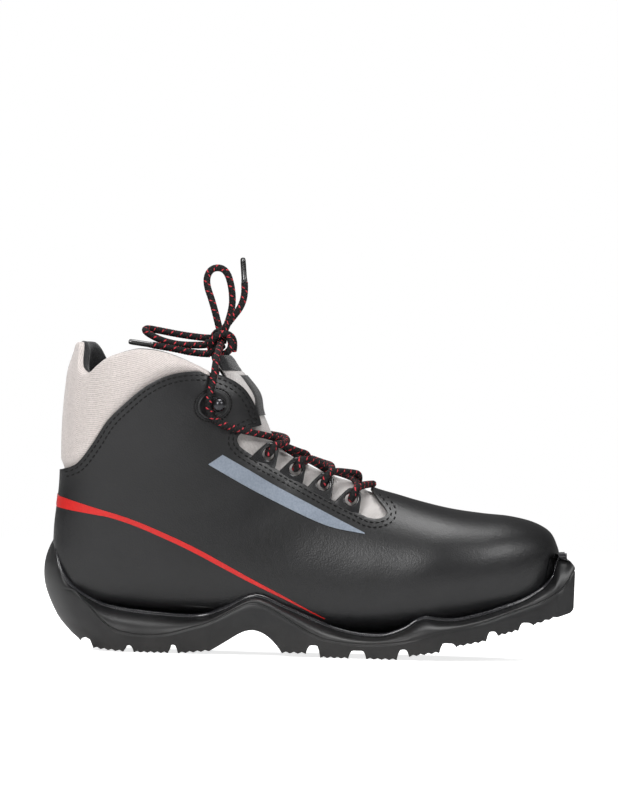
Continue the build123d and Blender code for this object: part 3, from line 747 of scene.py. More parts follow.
# ------------------------------------------------------------------ stitching
@dataclass
class Stitching:
    """Rows of short thread stitches lying on the upper."""

    length: float = 2.3
    width: float = 1.0
    sides: int = 6

    def template(self) -> tuple[list[Vector], list[tuple[int, ...]]]:
        """Return one stitch along X, with Z outward, as points and faces."""
        verts: list[Vector] = []
        faces: list[tuple[int, ...]] = []
        stations = ((-0.5, 0.25), (-0.32, 0.85), (0.0, 1.0), (0.32, 0.85), (0.5, 0.25))
        for x, r in stations:
            for k in range(self.sides):
                angle = 2 * math.pi * k / self.sides
                verts.append(Vector((x * self.length, math.cos(angle) * r * self.width / 2,
                                     math.sin(angle) * r * self.width / 2)))
        n = self.sides
        for i in range(len(stations) - 1):
            for k in range(n):
                m = (k + 1) % n
                faces.append((i * n + k, i * n + m, (i + 1) * n + m, (i + 1) * n + k))
        faces.append(tuple(range(n))[::-1])
        faces.append(tuple((len(stations) - 1) * n + k for k in range(n)))
        return verts, faces

    def along(self, places: Sequence[tuple[Vector, Vector]]) -> tuple[list[Vector], list[tuple[int, ...]]]:
        """Return stitches laid along surface places, each a point and its normal."""
        verts, faces = [], []
        shape, pattern = self.template()
        for i in range(1, len(places) - 1):
            point, out = places[i]
            along = (places[i + 1][0] - places[i - 1][0]).normalized()
            across = out.cross(along).normalized()
            start = len(verts)
            verts += [point + (along * v.x + across * v.y + out * v.z) * MM for v in shape]
            faces += [tuple(start + n for n in face) for face in pattern]
        return verts, faces

    def piece(self, name: str, rows: Sequence[Sequence[tuple[Vector, Vector]]]) -> bpy.types.Object:
        """Return one object holding several rows of stitches."""
        verts, faces = [], []
        for row in rows:
            more, pattern = self.along(row)
            faces += [tuple(n + len(verts) for n in face) for face in pattern]
            verts += more
        obj = new_object(name, verts, faces)
        outward(obj, 0.000001)
        smooth_shade(obj, 60.0)
        return obj


# ------------------------------------------------------------------ upper
@dataclass
class Upper:
    """The smooth outer panel with its edge stitching and its printed bands."""

    thickness: float = 1.8
    rows: tuple[float, ...] = (2.1, 4.8)
    lasting: tuple[Pair, ...] = (
        (165.0, 44.0), (136.0, 41.0), (125.0, 34.0), (110.0, 27.0), (88.0, 20.5), (58.0, 15.5),
        (20.0, 14.2), (-20.0, 17.5), (-60.0, 21.2), (-120.0, 25.5), (-165.0, 30.0))
    stripe_top: tuple[Pair, ...] = (
        (-149.6, 89.2), (-145.7, 88.2), (-133.5, 84.5), (-121.9, 81.2), (-109.7, 77.9), (-98.0, 74.0),
        (-86.4, 69.4), (-74.1, 64.2), (-62.4, 58.7), (-50.2, 52.4), (-38.5, 46.2), (-26.5, 40.1),
        (-14.5, 34.1), (-2.8, 28.0), (8.9, 22.1))
    stripe_width: tuple[Pair, ...] = (
        (-150.0, 6.6), (-140.0, 6.0), (-122.0, 3.6), (-110.0, 2.8), (-60.0, 2.8), (-38.0, 2.3),
        (-26.0, 1.9), (-10.0, 1.1), (9.0, 0.2))
    blade_top: tuple[Pair, ...] = ((-52.2, 114.2), (-35.0, 104.8), (-21.0, 97.0), (3.5, 84.8), (16.0, 78.6),
                                   (30.2, 71.8))
    blade_bottom: tuple[Pair, ...] = ((-60.2, 108.5), (-44.0, 99.6), (-29.3, 92.0), (-4.7, 80.5),
                                      (11.7, 74.4), (30.2, 71.2))

    def panel(self) -> bpy.types.Object:
        """Return the outer panel: the last's skin cut to its outline, given a wall and a turned edge."""
        obj = LAST.body("upper_panel", 190, 170)
        outline = [(x, z) for x, z in OUTLINES.leather_edge()]
        outline = [(-165.0, 103.2)] + outline + [(34.0, 112.0), (165.0, 112.0)] + list(self.lasting)
        cutter = prism("cutter", outline, -70.0, 70.0)
        dress(obj, bpy.data.materials.new("kept"))
        dress(cutter, bpy.data.materials.new("cut"))
        combine(obj, cutter, "INTERSECT", "TRANSFER")
        walls = {i for i, m in enumerate(obj.data.materials) if m and m.name.startswith("cut")}
        mesh = bmesh.new()
        mesh.from_mesh(obj.data)
        bmesh.ops.delete(mesh, geom=[f for f in mesh.faces if f.material_index in walls], context="FACES")
        bmesh.ops.remove_doubles(mesh, verts=mesh.verts, dist=0.00012)
        mesh.to_mesh(obj.data)
        mesh.free()
        wall = obj.modifiers.new("wall", "SOLIDIFY")
        wall.thickness = self.thickness * MM
        wall.offset = -1.0
        wall.use_even_offset = False
        apply_modifiers(obj)
        rim = obj.modifiers.new("rim", "BEVEL")
        rim.width = 0.5 * MM
        rim.segments = 2
        rim.limit_method = "ANGLE"
        rim.angle_limit = math.radians(55)
        apply_modifiers(obj)
        smooth_shade(obj, 50.0)
        return obj

    def edge_rows(self, side: Side) -> list[list[tuple[Vector, Vector]]]:
        """Return the surface places of the edge stitching on one side."""
        rows = []
        for distance in self.rows:
            for run in (OUTLINES.leather_top, OUTLINES.notch + OUTLINES.eyestay[1:] + OUTLINES.throat[1:]):
                line = offset_line(curve_through(run, 0.8), distance)
                places = [LAST.spot(x, z, side, 0.12) for x, z in evenly(line, 3.25)]
                rows.append([(p, n) for p, n in places if abs(p.y) > 0.006])
        return rows

    def band(self, name: str, side: Side, top: Sequence[Pair], bottom: Sequence[Pair]) -> bpy.types.Object:
        """Return a thin printed band between two side-view lines of equal length."""
        outer, inner = [], []
        for (xt, zt), (xb, zb) in zip(top, bottom):
            spots = [LAST.spot(xt + (xb - xt) * k / 4, zt + (zb - zt) * k / 4, side) for k in range(5)]
            outer.append([p + n * 0.32 * MM for p, n in spots])
            inner.append([p - n * 0.3 * MM for p, n in spots])
        obj = grid_shell(name, outer, inner)
        outward(obj)
        smooth_shade(obj, 50.0)
        return obj

    def wrapped(self, side: Side, start: Pair, height: float) -> list[tuple[float, float]]:
        """Return section places from the middle of the back round to a side-view point."""
        u1, phi1 = LAST.locate(*start)
        u0 = LAST.locate(-147.0, height)[0]
        steps = 14
        return [(u0 + (u1 - u0) * (k / steps) ** 1.6, phi1 * k / steps) for k in range(steps)]

    def stripe(self, side: Side) -> bpy.types.Object:
        """Return the long low band, from the middle of the back to its point on the side."""
        width = table(self.stripe_width)
        top = curve_through(self.stripe_top[1:], 2.0)
        low = [(x - width(x) * 0.35, z - width(x) * 0.94) for x, z in top]
        edges = []
        for line, height in ((top, 89.3), (low, 82.6)):
            places = self.wrapped(side, line[0], height) + [LAST.locate(x, z) for x, z in line]
            edges.append([(u, phi if side is Side.INNER else 2 * math.pi - phi) for u, phi in places])
        outer, inner = [], []
        for (ua, pa), (ub, pb) in zip(*edges):
            spots = [(ua + (ub - ua) * k / 4, pa + (pb - pa) * k / 4) for k in range(5)]
            outer.append([LAST.point(u, p) + LAST.normal(u, p) * 0.32 * MM for u, p in spots])
            inner.append([LAST.point(u, p) - LAST.normal(u, p) * 0.3 * MM for u, p in spots])
        obj = grid_shell(f"low_band_{side.name.lower()}", outer, inner)
        outward(obj)
        smooth_shade(obj, 50.0)
        return obj

    def blade(self, side: Side) -> bpy.types.Object:
        """Return the tapered blade under the lace edge on one side."""
        count = 40
        lines = [curve_through(line, 0.2) for line in (self.blade_top, self.blade_bottom)]
        pairs = [[line[int((len(line) - 1) * k / count)] for k in range(count + 1)] for line in lines]
        return self.band(f"blade_band_{side.name.lower()}", side, pairs[0], pairs[1])

    def build(self, finishes: Finishes) -> None:
        """Build and place every piece of the upper."""
        panel = self.panel()
        dress(panel, finishes.leather)
        finish_piece(panel, Body.BOOT, "upper_leather", "upper_shell")
        for side in Side:
            name = side.name.lower()
            thread = Stitching().piece(f"edge_stitching_{name}", self.edge_rows(side))
            dress(thread, finishes.thread)
            finish_piece(thread, Body.BOOT, "upper_leather")
            stripe, blade = self.stripe(side), self.blade(side)
            dress(stripe, finishes.red)
            finish_piece(stripe, Body.BOOT, "upper_leather")
            dress(blade, finishes.silver)
            finish_piece(blade, Body.BOOT, "upper_leather")


# ------------------------------------------------------------------ collar and lining
@dataclass
class Collar:
    """The padded collar with its rolled rim, and the fleece that lines it."""

    axis_x: float = -91.0
    roll: float = 4.2
    first: float = 47.0
    columns: int = 250
    tuck: float = 9.0
    outer_tab: tuple[Pair, ...] = (
        (-152.0, 176.9), (-142.4, 176.9), (-140.2, 175.4), (-138.6, 169.0), (-136.8, 162.4), (-133.6, 159.4),
        (-130.2, 160.2), (-126.0, 164.4), (-119.6, 169.0))
    inner_tab: tuple[Pair, ...] = (
        (-152.0, 176.9), (-138.5, 176.9), (-134.0, 176.0), (-130.4, 173.2), (-127.2, 168.6), (-124.0, 165.6),
        (-120.6, 167.6), (-116.0, 170.4))

    def __post_init__(self) -> None:
        """Prepare the last's skin for measuring."""
        skin = LAST.body("probe", 120, 120)
        mesh = skin.data
        self.tree = BVHTree.FromPolygons([v.co for v in mesh.vertices],
                                         [tuple(p.vertices) for p in mesh.polygons])
        bpy.data.objects.remove(skin)
        self.rims = {side: table(rows + OUTLINES.collar_top[8:])
                     for side, rows in ((Side.OUTER, self.outer_tab), (Side.INNER, self.inner_tab))}
        self.leather = table(OUTLINES.leather_top[:-3])

    def radius(self, angle: float, z: float) -> float:
        """Return the last's radius from the shaft's axis at an angle and height."""
        origin = Vector((self.axis_x * MM, 0.0, z * MM))
        hit = self.tree.ray_cast(origin, Vector((math.cos(angle), math.sin(angle), 0.0)))[0]
        return (hit - origin).length / MM if hit else 40.0

    def at(self, angle: float, r: float, z: float) -> Vector:
        """Return a point from its angle, radius and height."""
        return Vector(((self.axis_x + r * math.cos(angle)) * MM, r * math.sin(angle) * MM, z * MM))

    def rim_height(self, angle: float) -> float:
        """Return the height of the rim at an angle."""
        x = self.axis_x + self.radius(angle, 165.0) * math.cos(angle) - X_SHIFT
        side = Side.INNER if math.sin(angle) > 0 else Side.OUTER
        return self.rims[side](x)

    def column(self, angle: float) -> list[Vector]:
        """Return one closed cross-section of the padded collar."""
        top = self.rim_height(angle)
        x = self.axis_x + self.radius(angle, 150.0) * math.cos(angle) - X_SHIFT
        edge = self.leather(x)
        heel = smoothstep(-128.0, -140.0, x) if x > -140.0 else 1.0
        roll = self.roll - 0.9 * heel
        low = min(edge - self.tuck, top - 16.0)
        points = []
        for k in range(22):
            z = low + (top - roll - low) * k / 21
            share = smoothstep(edge - 1.0, edge + 6.0, z)
            crown = math.sin(math.pi * smoothstep(edge - 2.0, top, z)) * 1.5
            puff = -2.4 + share * 2.9 + crown * (1.0 - 0.7 * heel) - self.lean(heel, z)
            points.append(self.at(angle, self.radius(angle, z) + puff, z))
        base = self.radius(angle, top - roll) + 0.5 - self.lean(heel, top - roll)
        for k in range(1, 12):
            turn = math.pi * k / 12
            points.append(self.at(angle, base - roll + roll * math.cos(turn),
                                  top - roll + roll * math.sin(turn)))
        for k in range(9):
            z = top - roll - (top - roll - low) * k / 8
            points.append(self.at(angle, self.radius(angle, z) + 0.3 - 2 * roll - self.lean(heel, z), z))
        return points

    def lean(self, heel: float, z: float) -> float:
        """Return how far the heel tab leans in at a height."""
        return heel * (1.2 + 3.2 * smoothstep(158.0, 177.0, z))

    def lining_column(self, angle: float) -> list[Vector]:
        """Return one closed cross-section of the fleece, from the crest of the rim down."""
        top = self.rim_height(angle)
        x = self.axis_x + self.radius(angle, 150.0) * math.cos(angle) - X_SHIFT
        heel = smoothstep(-128.0, -140.0, x) if x > -140.0 else 1.0
        roll = self.roll - 0.9 * heel
        crest = self.radius(angle, top - roll) + 0.5 - roll - self.lean(heel, top - roll)
        pad, skin = [], []
        for k in range(9):
            turn = math.radians(100.0 + 80.0 * k / 8)
            lift = 0.95 * smoothstep(-0.5, 2.0, k)
            for line, r in ((pad, roll - 0.3), (skin, roll + 0.12 + lift)):
                line.append(self.at(angle, crest + r * math.cos(turn), top - roll + r * math.sin(turn)))
        for k in range(1, 22):
            z = top - roll - (top - roll - 60.0) * k / 21
            r = self.radius(angle, z) + 0.5 - 2 * roll - self.lean(heel, z)
            r = min(r, 62.0)
            pad.append(self.at(angle, r + 0.3, z))
            skin.append(self.at(angle, r - 1.07, z))
        return pad + skin[::-1]

    def angles(self, first: float, count: int) -> list[float]:
        """Return evenly spread angles from one side of the opening round the heel to the other."""
        return [math.radians(first + (360.0 - 2 * first) * k / count) for k in range(count + 1)]

    def build(self, finishes: Finishes) -> None:
        """Build and place the collar and its lining."""
        collar = loops_mesh("collar_padding", [self.column(a) for a in self.angles(self.first, self.columns)])
        outward(collar)
        smooth_shade(collar, 60.0)
        dress(collar, finishes.collar)
        finish_piece(collar, Body.BOOT, "collar_fabric", "collar")
        lining = loops_mesh("collar_fleece",
                            [self.lining_column(a) for a in self.angles(self.first + 1, 220)])
        outward(lining)
        smooth_shade(lining, 60.0)
        dress(lining, finishes.fleece)
        finish_piece(lining, Body.BOOT, "fleece", "collar_lining")


@dataclass
class Interior:
    """The fleece lining of the foot part and the footbed that lies in it."""

    def shell(self, name: str, us: Sequence[float], reach: Callable[[float], float], start: float,
              depth: tuple[float, float], columns: int = 60) -> bpy.types.Object:
        """Return a closed shell over part of the last.

        Args:
            name: Name of the object.
            us: Section positions.
            reach: Half angle covered at each section, from start.
            start: Middle angle: 0 for the sole, pi for the top.
            depth: Outer and inner inset.
            columns: Steps round the section.
        """
        grids = []
        for inset in depth:
            grids.append([[LAST.point(u, start + reach(u) * (2 * k / columns - 1), inset)
                           for k in range(columns + 1)] for u in us])
        obj = grid_shell(name, grids[0], grids[1])
        outward(obj)
        smooth_shade(obj, 50.0)
        return obj

    def build(self, finishes: Finishes) -> None:
        """Build and place the inner pieces."""
        us = [4.6 + 11.4 * k / 70 for k in range(71)]
        lining = self.shell("foot_fleece", us, lambda u: math.pi - (1.05 if u < 11 else 0.02), 0.0,
                            (2.4, 4.9))
        dress(lining, finishes.fleece)
        finish_piece(lining, Body.BOOT, "fleece", "foot_lining")
        us = [6.6 + 9.3 * k / 60 for k in range(61)]
        footbed = self.shell("footbed", us, lambda u: 0.55, 0.0, (5.6, 9.3), 30)
        dress(footbed, finishes.footbed)
        finish_piece(footbed, Body.INSOLE, "insole_foam", "insole")


# ------------------------------------------------------------------ tongue
@dataclass
class Tongue:
    """The padded tongue, its fleece back, its dark top binding and its blank patch."""

    top: float = 1.02
    bottom: float = 10.7
    rows: int = 150
    columns: int = 56
    reach: tuple[Pair, ...] = ((0.8, 0.56), (2.0, 0.70), (3.0, 0.92), (4.0, 1.02), (6.0, 0.88), (8.0, 0.88),
                               (9.5, 1.05), (10.8, 1.1))

    def grid(self, u0: float, u1: float, inset: Callable[[float, float], float],
             reach: Callable[[float], float], rows: int) -> list[list[Vector]]:
        """Return points over the top of the last; inset depends on section and -1 to 1 across."""
        out = []
        for i in range(rows + 1):
            u = u0 + (u1 - u0) * i / rows
            line = []
            for k in range(self.columns + 1):
                side = 2 * k / self.columns - 1
                line.append(LAST.point(u, math.pi + reach(u) * side, inset(u, side)))
            out.append(line)
        return out

    def outer_depth(self, u: float, side: float) -> float:
        """Return the depth of the padded face: crowned, rounded at its rim, wrinkled at the throat."""
        rim = smoothstep(0.80, 1.0, abs(side)) * 2.4
        end = smoothstep(self.top + 0.25, self.top, u) * 2.2
        ripple = math.sin(u * 9.0 + 3.0 * side) * 0.35 + math.sin(u * 17.0) * 0.15
        wrinkle = smoothstep(7.5, 9.0, u) * ripple
        quilt = 0.5 * math.sin(u * 3.4) ** 2 * (1 - side * side)
        return 4.0 + rim + end - wrinkle - quilt * 0.8

    def build(self, finishes: Finishes) -> None:
        """Build and place every piece of the tongue."""
        reach = table(self.reach)
        outer = self.grid(self.top, self.bottom, self.outer_depth, reach, self.rows)
        inner = self.grid(self.top, self.bottom, lambda u, s: 9.8 - smoothstep(0.8, 1.0, abs(s)) * 2.4,
                          reach, self.rows)
        pad = grid_shell("tongue_padding", outer, inner)
        outward(pad)
        smooth_shade(pad, 60.0)
        dress(pad, finishes.tongue)
        finish_piece(pad, Body.TONGUE, "tongue_fabric", "tongue")
        back_reach = lambda u: reach(u) * 0.86
        back = grid_shell("tongue_fleece",
                          self.grid(self.top - 0.1, 9.8, lambda u, s: 9.7, back_reach, 80),
                          self.grid(self.top - 0.1, 9.8, lambda u, s: 11.6, back_reach, 80))
        outward(back)
        smooth_shade(back, 60.0)
        dress(back, finishes.fleece)
        finish_piece(back, Body.TONGUE, "fleece", "tongue_lining")
        binding = grid_shell("tongue_top_binding",
                             self.grid(0.72, self.top + 0.16, lambda u, s: 3.9 + 9 * max(0.0, 0.82 - u) ** 1.0
                                       + smoothstep(0.8, 1.0, abs(s)) * 2.2, reach, 16),
                             self.grid(0.72, self.top + 0.16, lambda u, s: 11.0 - 9 * max(0.0, 0.82 - u),
                                       reach, 16))
        outward(binding)
        smooth_shade(binding, 60.0)
        dress(binding, finishes.fleece)
        finish_piece(binding, Body.TONGUE, "fleece")
        patch = grid_shell("blank_patch",
                           self.grid(1.35, 3.0, lambda u, s: 2.9 + smoothstep(0.9, 1.0, abs(s)) * 0.5,
                                     lambda u: 0.36, 40),
                           self.grid(1.35, 3.0, lambda u, s: 4.6, lambda u: 0.36, 40))
        outward(patch)
        smooth_shade(patch, 50.0)
        dress(patch, finishes.patch)
        finish_piece(patch, Body.TONGUE, "label", "tongue_label")


# ------------------------------------------------------------------ sole
@dataclass
class Sole:
    """The moulded sole: a rand wall with a rounded bead over the lugged outsole."""

    bead: float = 1.55
    front: float = 151.6
    back_end: float = 154.2
    reach_sides: Pair = (-70.0, 70.0)
    groove_sides: Pair = (-8.0, 8.0)
    slot_sides: Pair = (-8.0, 14.0)
    side_groove: float = 0.55
    tooth_pitch: float = 4.2
    tooth_depth: float = 0.95
    nose: tuple[Pair, ...] = (
        (142.0, -23.6), (149.0, -23.6), (151.0, -22.8), (151.6, -20.5), (151.6, 3.0), (151.6, 26.5),
        (151.0, 28.8), (149.0, 29.6), (142.0, 29.6))
    slot: tuple[Pair, ...] = ((134.85, 14.0), (134.85, 40.0), (156.0, 40.0), (156.0, 14.0))
    outer: tuple[Pair, ...] = (
        (-151.5, 12.0), (-154.2, 0.0), (-151.5, -12.0), (-143.0, -24.5), (-128.0, -33.0), (-107.0, -36.5),
        (-80.0, -37.0), (-50.0, -37.5), (-20.0, -40.5), (10.0, -45.0), (40.0, -48.8), (62.0, -50.0),
        (85.0, -47.5), (105.0, -41.0), (120.0, -33.0), (132.0, -26.5), (142.0, -23.6))
    inner: tuple[Pair, ...] = (
        (142.0, 29.6), (132.0, 33.0), (120.0, 39.0), (105.0, 45.5), (85.0, 49.8), (62.0, 50.0),
        (40.0, 46.5), (10.0, 40.5), (-20.0, 37.5), (-50.0, 36.5), (-80.0, 36.5), (-107.0, 36.5),
        (-128.0, 33.0), (-143.0, 24.5), (-151.5, 12.0))
    heel: tuple[Pair, ...] = (
        (-3.0, -130.0), (4.4, -131.9), (8.9, -136.7), (16.8, -143.8), (23.0, -147.4), (31.6, -151.1),
        (40.0, -153.4), (49.4, -153.9), (58.0, -152.6), (65.6, -150.2))
    sole_line: tuple[Pair, ...] = (
        (-150.0, 26.0), (-100.0, 23.0), (-60.0, 21.0), (-20.0, 17.0), (20.0, 13.5), (58.0, 15.0),
        (88.0, 20.0), (110.0, 26.0), (125.0, 33.0), (139.0, 44.0), (152.0, 50.0))
    lugs: tuple[tuple[float, ...], ...] = (
        (-123.5, 1.3, -106.0, 0.2, 4.0), (-99.8, 0.0, -80.5, 0.0, 5.0), (-74.6, 0.0, -57.0, 1.8, 0.0),
        (-15.2, 2.0, -1.6, 2.0, 7.0), (6.7, 0.0, 22.6, 0.0, 4.8), (33.0, 0.0, 50.2, 0.0, 6.2),
        (57.4, 2.1, 74.4, 4.8, 10.4), (84.0, 8.3, 101.0, 11.8, 17.6), (108.2, 15.0, 119.6, 18.1, 22.8),
        (128.2, 21.3, 142.0, 26.2, 0.0))
    arch: tuple[Pair, ...] = ((-57.0, 1.8), (-53.0, 4.2), (-46.0, 8.6), (-40.0, 12.4), (-34.1, 14.5),
                              (-28.6, 13.9), (-23.0, 10.8), (-18.5, 6.4), (-15.2, 2.0))
    groove: tuple[Pair, ...] = ((-8.0, 4.5), (52.0, 4.8), (76.0, 9.0), (101.0, 16.0), (121.0, 22.5),
                                (133.0, 27.5))

    def __post_init__(self) -> None:
        """Make the side-view lines readable as functions of x or z."""
        self.top = table(OUTLINES.rand_top)
        self.part = table(OUTLINES.parting)
        self.back = table(self.heel)
        self.floor = table(self.sole_line)

    def outline(self) -> list[Pair]:
        """Return the sole's outline from above as an evenly spaced closed line."""
        line = curve_through(self.outer, 1.0)[1:]
        line += curve_through(self.nose, 1.0)[1:-1]
        line += curve_through(self.inner, 1.0)[:-1]
        return evenly(line, 1.4)

    def rear(self, x: float, z: float) -> float:
        """Return x moved forward so that the back of the sole follows its rounded side view."""
        share = smoothstep(-104.0, -150.0, x) if x > -150.0 else 1.0
        return min(x + (self.back(z) + self.back_end) * share, self.front)

    def profile(self, x: float, reach: float) -> list[Pair]:
        """Return the wall's cross-section at one place: depth inside the outline, and height."""
        top, part = self.top(x), self.part(x)
        crown = max(reach - 1.7 * self.bead, 0.2)
        high = top - 1.5 * self.bead
        line = [(1.2, -2.0), (0.9, 2.0), (0.6, min(6.0, part - 2.0))]
        line += [(0.6 - 0.6 * k / 8, line[2][1] + (part - 1.2 - line[2][1]) * k / 8) for k in range(1, 9)]
        shallow = 1.0 - 0.7 * smoothstep(48.0, 66.0, x) + 0.7 * smoothstep(92.0, 106.0, x)
        groove = self.side_groove * smoothstep(-146.0, -134.0, x) * shallow
        line += [(0.02 + groove * g, part + h)
                 for g, h in ((0.35, -0.7), (0.9, -0.35), (1.0, 0.0), (0.6, 0.35), (0.0, 0.9))]
        start = part + 1.0
        for k in range(1, 15):
            t = k / 14
            line.append((crown * (0.25 * t + 0.75 * t ** 2.6), start + (high - start) * t ** 0.92))
        line += [(crown + 0.6, high + 0.1), (reach + 2.0, high + 0.2), (reach + 4.0, self.floor(x) - 0.8)]
        return line

    def wall(self, tree: BVHTree) -> tuple[bpy.types.Object, bpy.types.Object]:
        """Return the whole sole as one closed block, and the bead along its top."""
        line = self.outline()
        count = len(line)
        reaches = []
        for i, (x, y) in enumerate(line):
            (x0, y0), (x1, y1) = line[i - 3], line[(i + 3) % count]
            out = Vector((y1 - y0, -(x1 - x0), 0.0)).normalized()
            origin = Vector(((x + X_SHIFT) * MM, y * MM, self.top(x) * MM)) + out * 0.02
            hit = tree.ray_cast(origin, -out, 0.08)[0]
            reach = (hit - origin).length / MM - 20.0 if hit else 11.0
            reaches.append((min(max(reach, 1.0), 13.0), out))
        rings, beads = [], []
        for i, (x, y) in enumerate(line):
            near = [reaches[(i + k) % count][0] for k in range(-6, 7)]
            reach, out = sum(near) / len(near), reaches[i][1]

            def at(depth: float, z: float) -> Vector:
                """Return a point at a depth inside the outline and a height."""
                px = x - out.x * depth
                return Vector(((self.rear(px, z) + X_SHIFT) * MM, (y - out.y * depth) * MM, z * MM))

            rings.append([at(depth, z) for depth, z in self.profile(x, reach)])
            r, top = self.bead, self.top(x)
            depth = max(reach - 1.7 * r, 0.2) + 0.75 * r
            beads.append([at(depth - r * math.cos(a), top - r + r * math.sin(a))
                          for a in (2 * math.pi * k / 16 for k in range(16))])
        levels = [[ring[k] for ring in rings] for k in range(len(rings[0]))]
        block = loops_mesh("sole_block", levels)
        outward(block)
        bead = loops_mesh("rand_bead", beads + beads[:1], cap=False)
        outward(bead)
        return block, bead

    def tread_line(self) -> list[Pair]:
        """Return the side view of the tread: toothed lugs, rounded notches and the arch."""
        line: list[Pair] = [(-131.9, 4.4), (-130.4, 6.6), (-128.0, 7.4), (-125.6, 6.2)]
        for number, (x0, z0, x1, z1, roof) in enumerate(self.lugs):
            teeth = max(2, round((x1 - x0) / self.tooth_pitch))
            for k in range(2 * teeth + 1):
                t = k / (2 * teeth)
                line.append((x0 + (x1 - x0) * t, z0 + (z1 - z0) * t + (self.tooth_depth if k % 2 else 0.0)))
            if number == 2:
                line += curve_through(self.arch, 1.2)[1:-1]
            elif roof:
                x2, z2 = self.lugs[number + 1][:2]
                line += [(x1 + 0.9, z1 + (roof - z1) * 0.6), (x1 + 1.9, roof - 0.3), (x1 + 3.0, roof),
                         (x2 - 2.6, roof), (x2 - 1.7, roof - 0.4), (x2 - 0.8, z2 + (roof - z2) * 0.55)]
        return line + [(146.0, 27.6), (149.3, 28.9), (150.8, 30.6), (151.6, 33.0)]

    def build(self, finishes: Finishes, tree: BVHTree) -> None:
        """Build the sole block, cut its tread, groove and bar slot, and dress the hidden parts."""
        block, bead = self.wall(tree)
        tread = [(-175.0, -6.0), (-175.0, 4.4)] + self.tread_line() + [(175.0, 33.0), (175.0, -6.0)]
        groove = list(self.groove) + [(133.0, -8.0), (-8.0, -8.0)]
        for name, line, sides in (("tread", tread, self.reach_sides), ("groove", groove, self.groove_sides),
                                  ("slot", self.slot, self.slot_sides)):
            combine(block, prism(name, line, *sides), "DIFFERENCE")
        outward(block, 0.00001)
        smooth_shade(block, 34.0)
        smooth_shade(bead, 60.0)
        dress(block, finishes.rubber)
        dress(bead, finishes.bead)
        finish_piece(block, Body.BOOT, "sole_rubber", "rand", "outsole")
        finish_piece(bead, Body.BOOT, "sole_rubber")
        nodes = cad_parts
        dress(nodes["binding_bar"], finishes.steel)
        dress(nodes["shank"], finishes.steel)
        for name in ("insole_board", "heel_counter", "toe_puff", "eyestay_backing"):
            dress(nodes[name], finishes.hidden)


# ------------------------------------------------------------------ lacing hardware
@dataclass
class LoopFrame:
    """The place of one lace loop: origin at its hole, x along the edge, y to the throat."""

    origin: Vector
    x: Vector
    y: Vector
    z: Vector

    def at(self, x: float, y: float, z: float) -> Vector:
        """Return a point from its place in the loop's own frame."""
        return self.origin + (self.x * x + self.y * y + self.z * z) * MM

    def matrix(self) -> Matrix:
        """Return the frame as a matrix in metres."""
        return Matrix((self.x, self.y, self.z)).transposed().to_4x4()


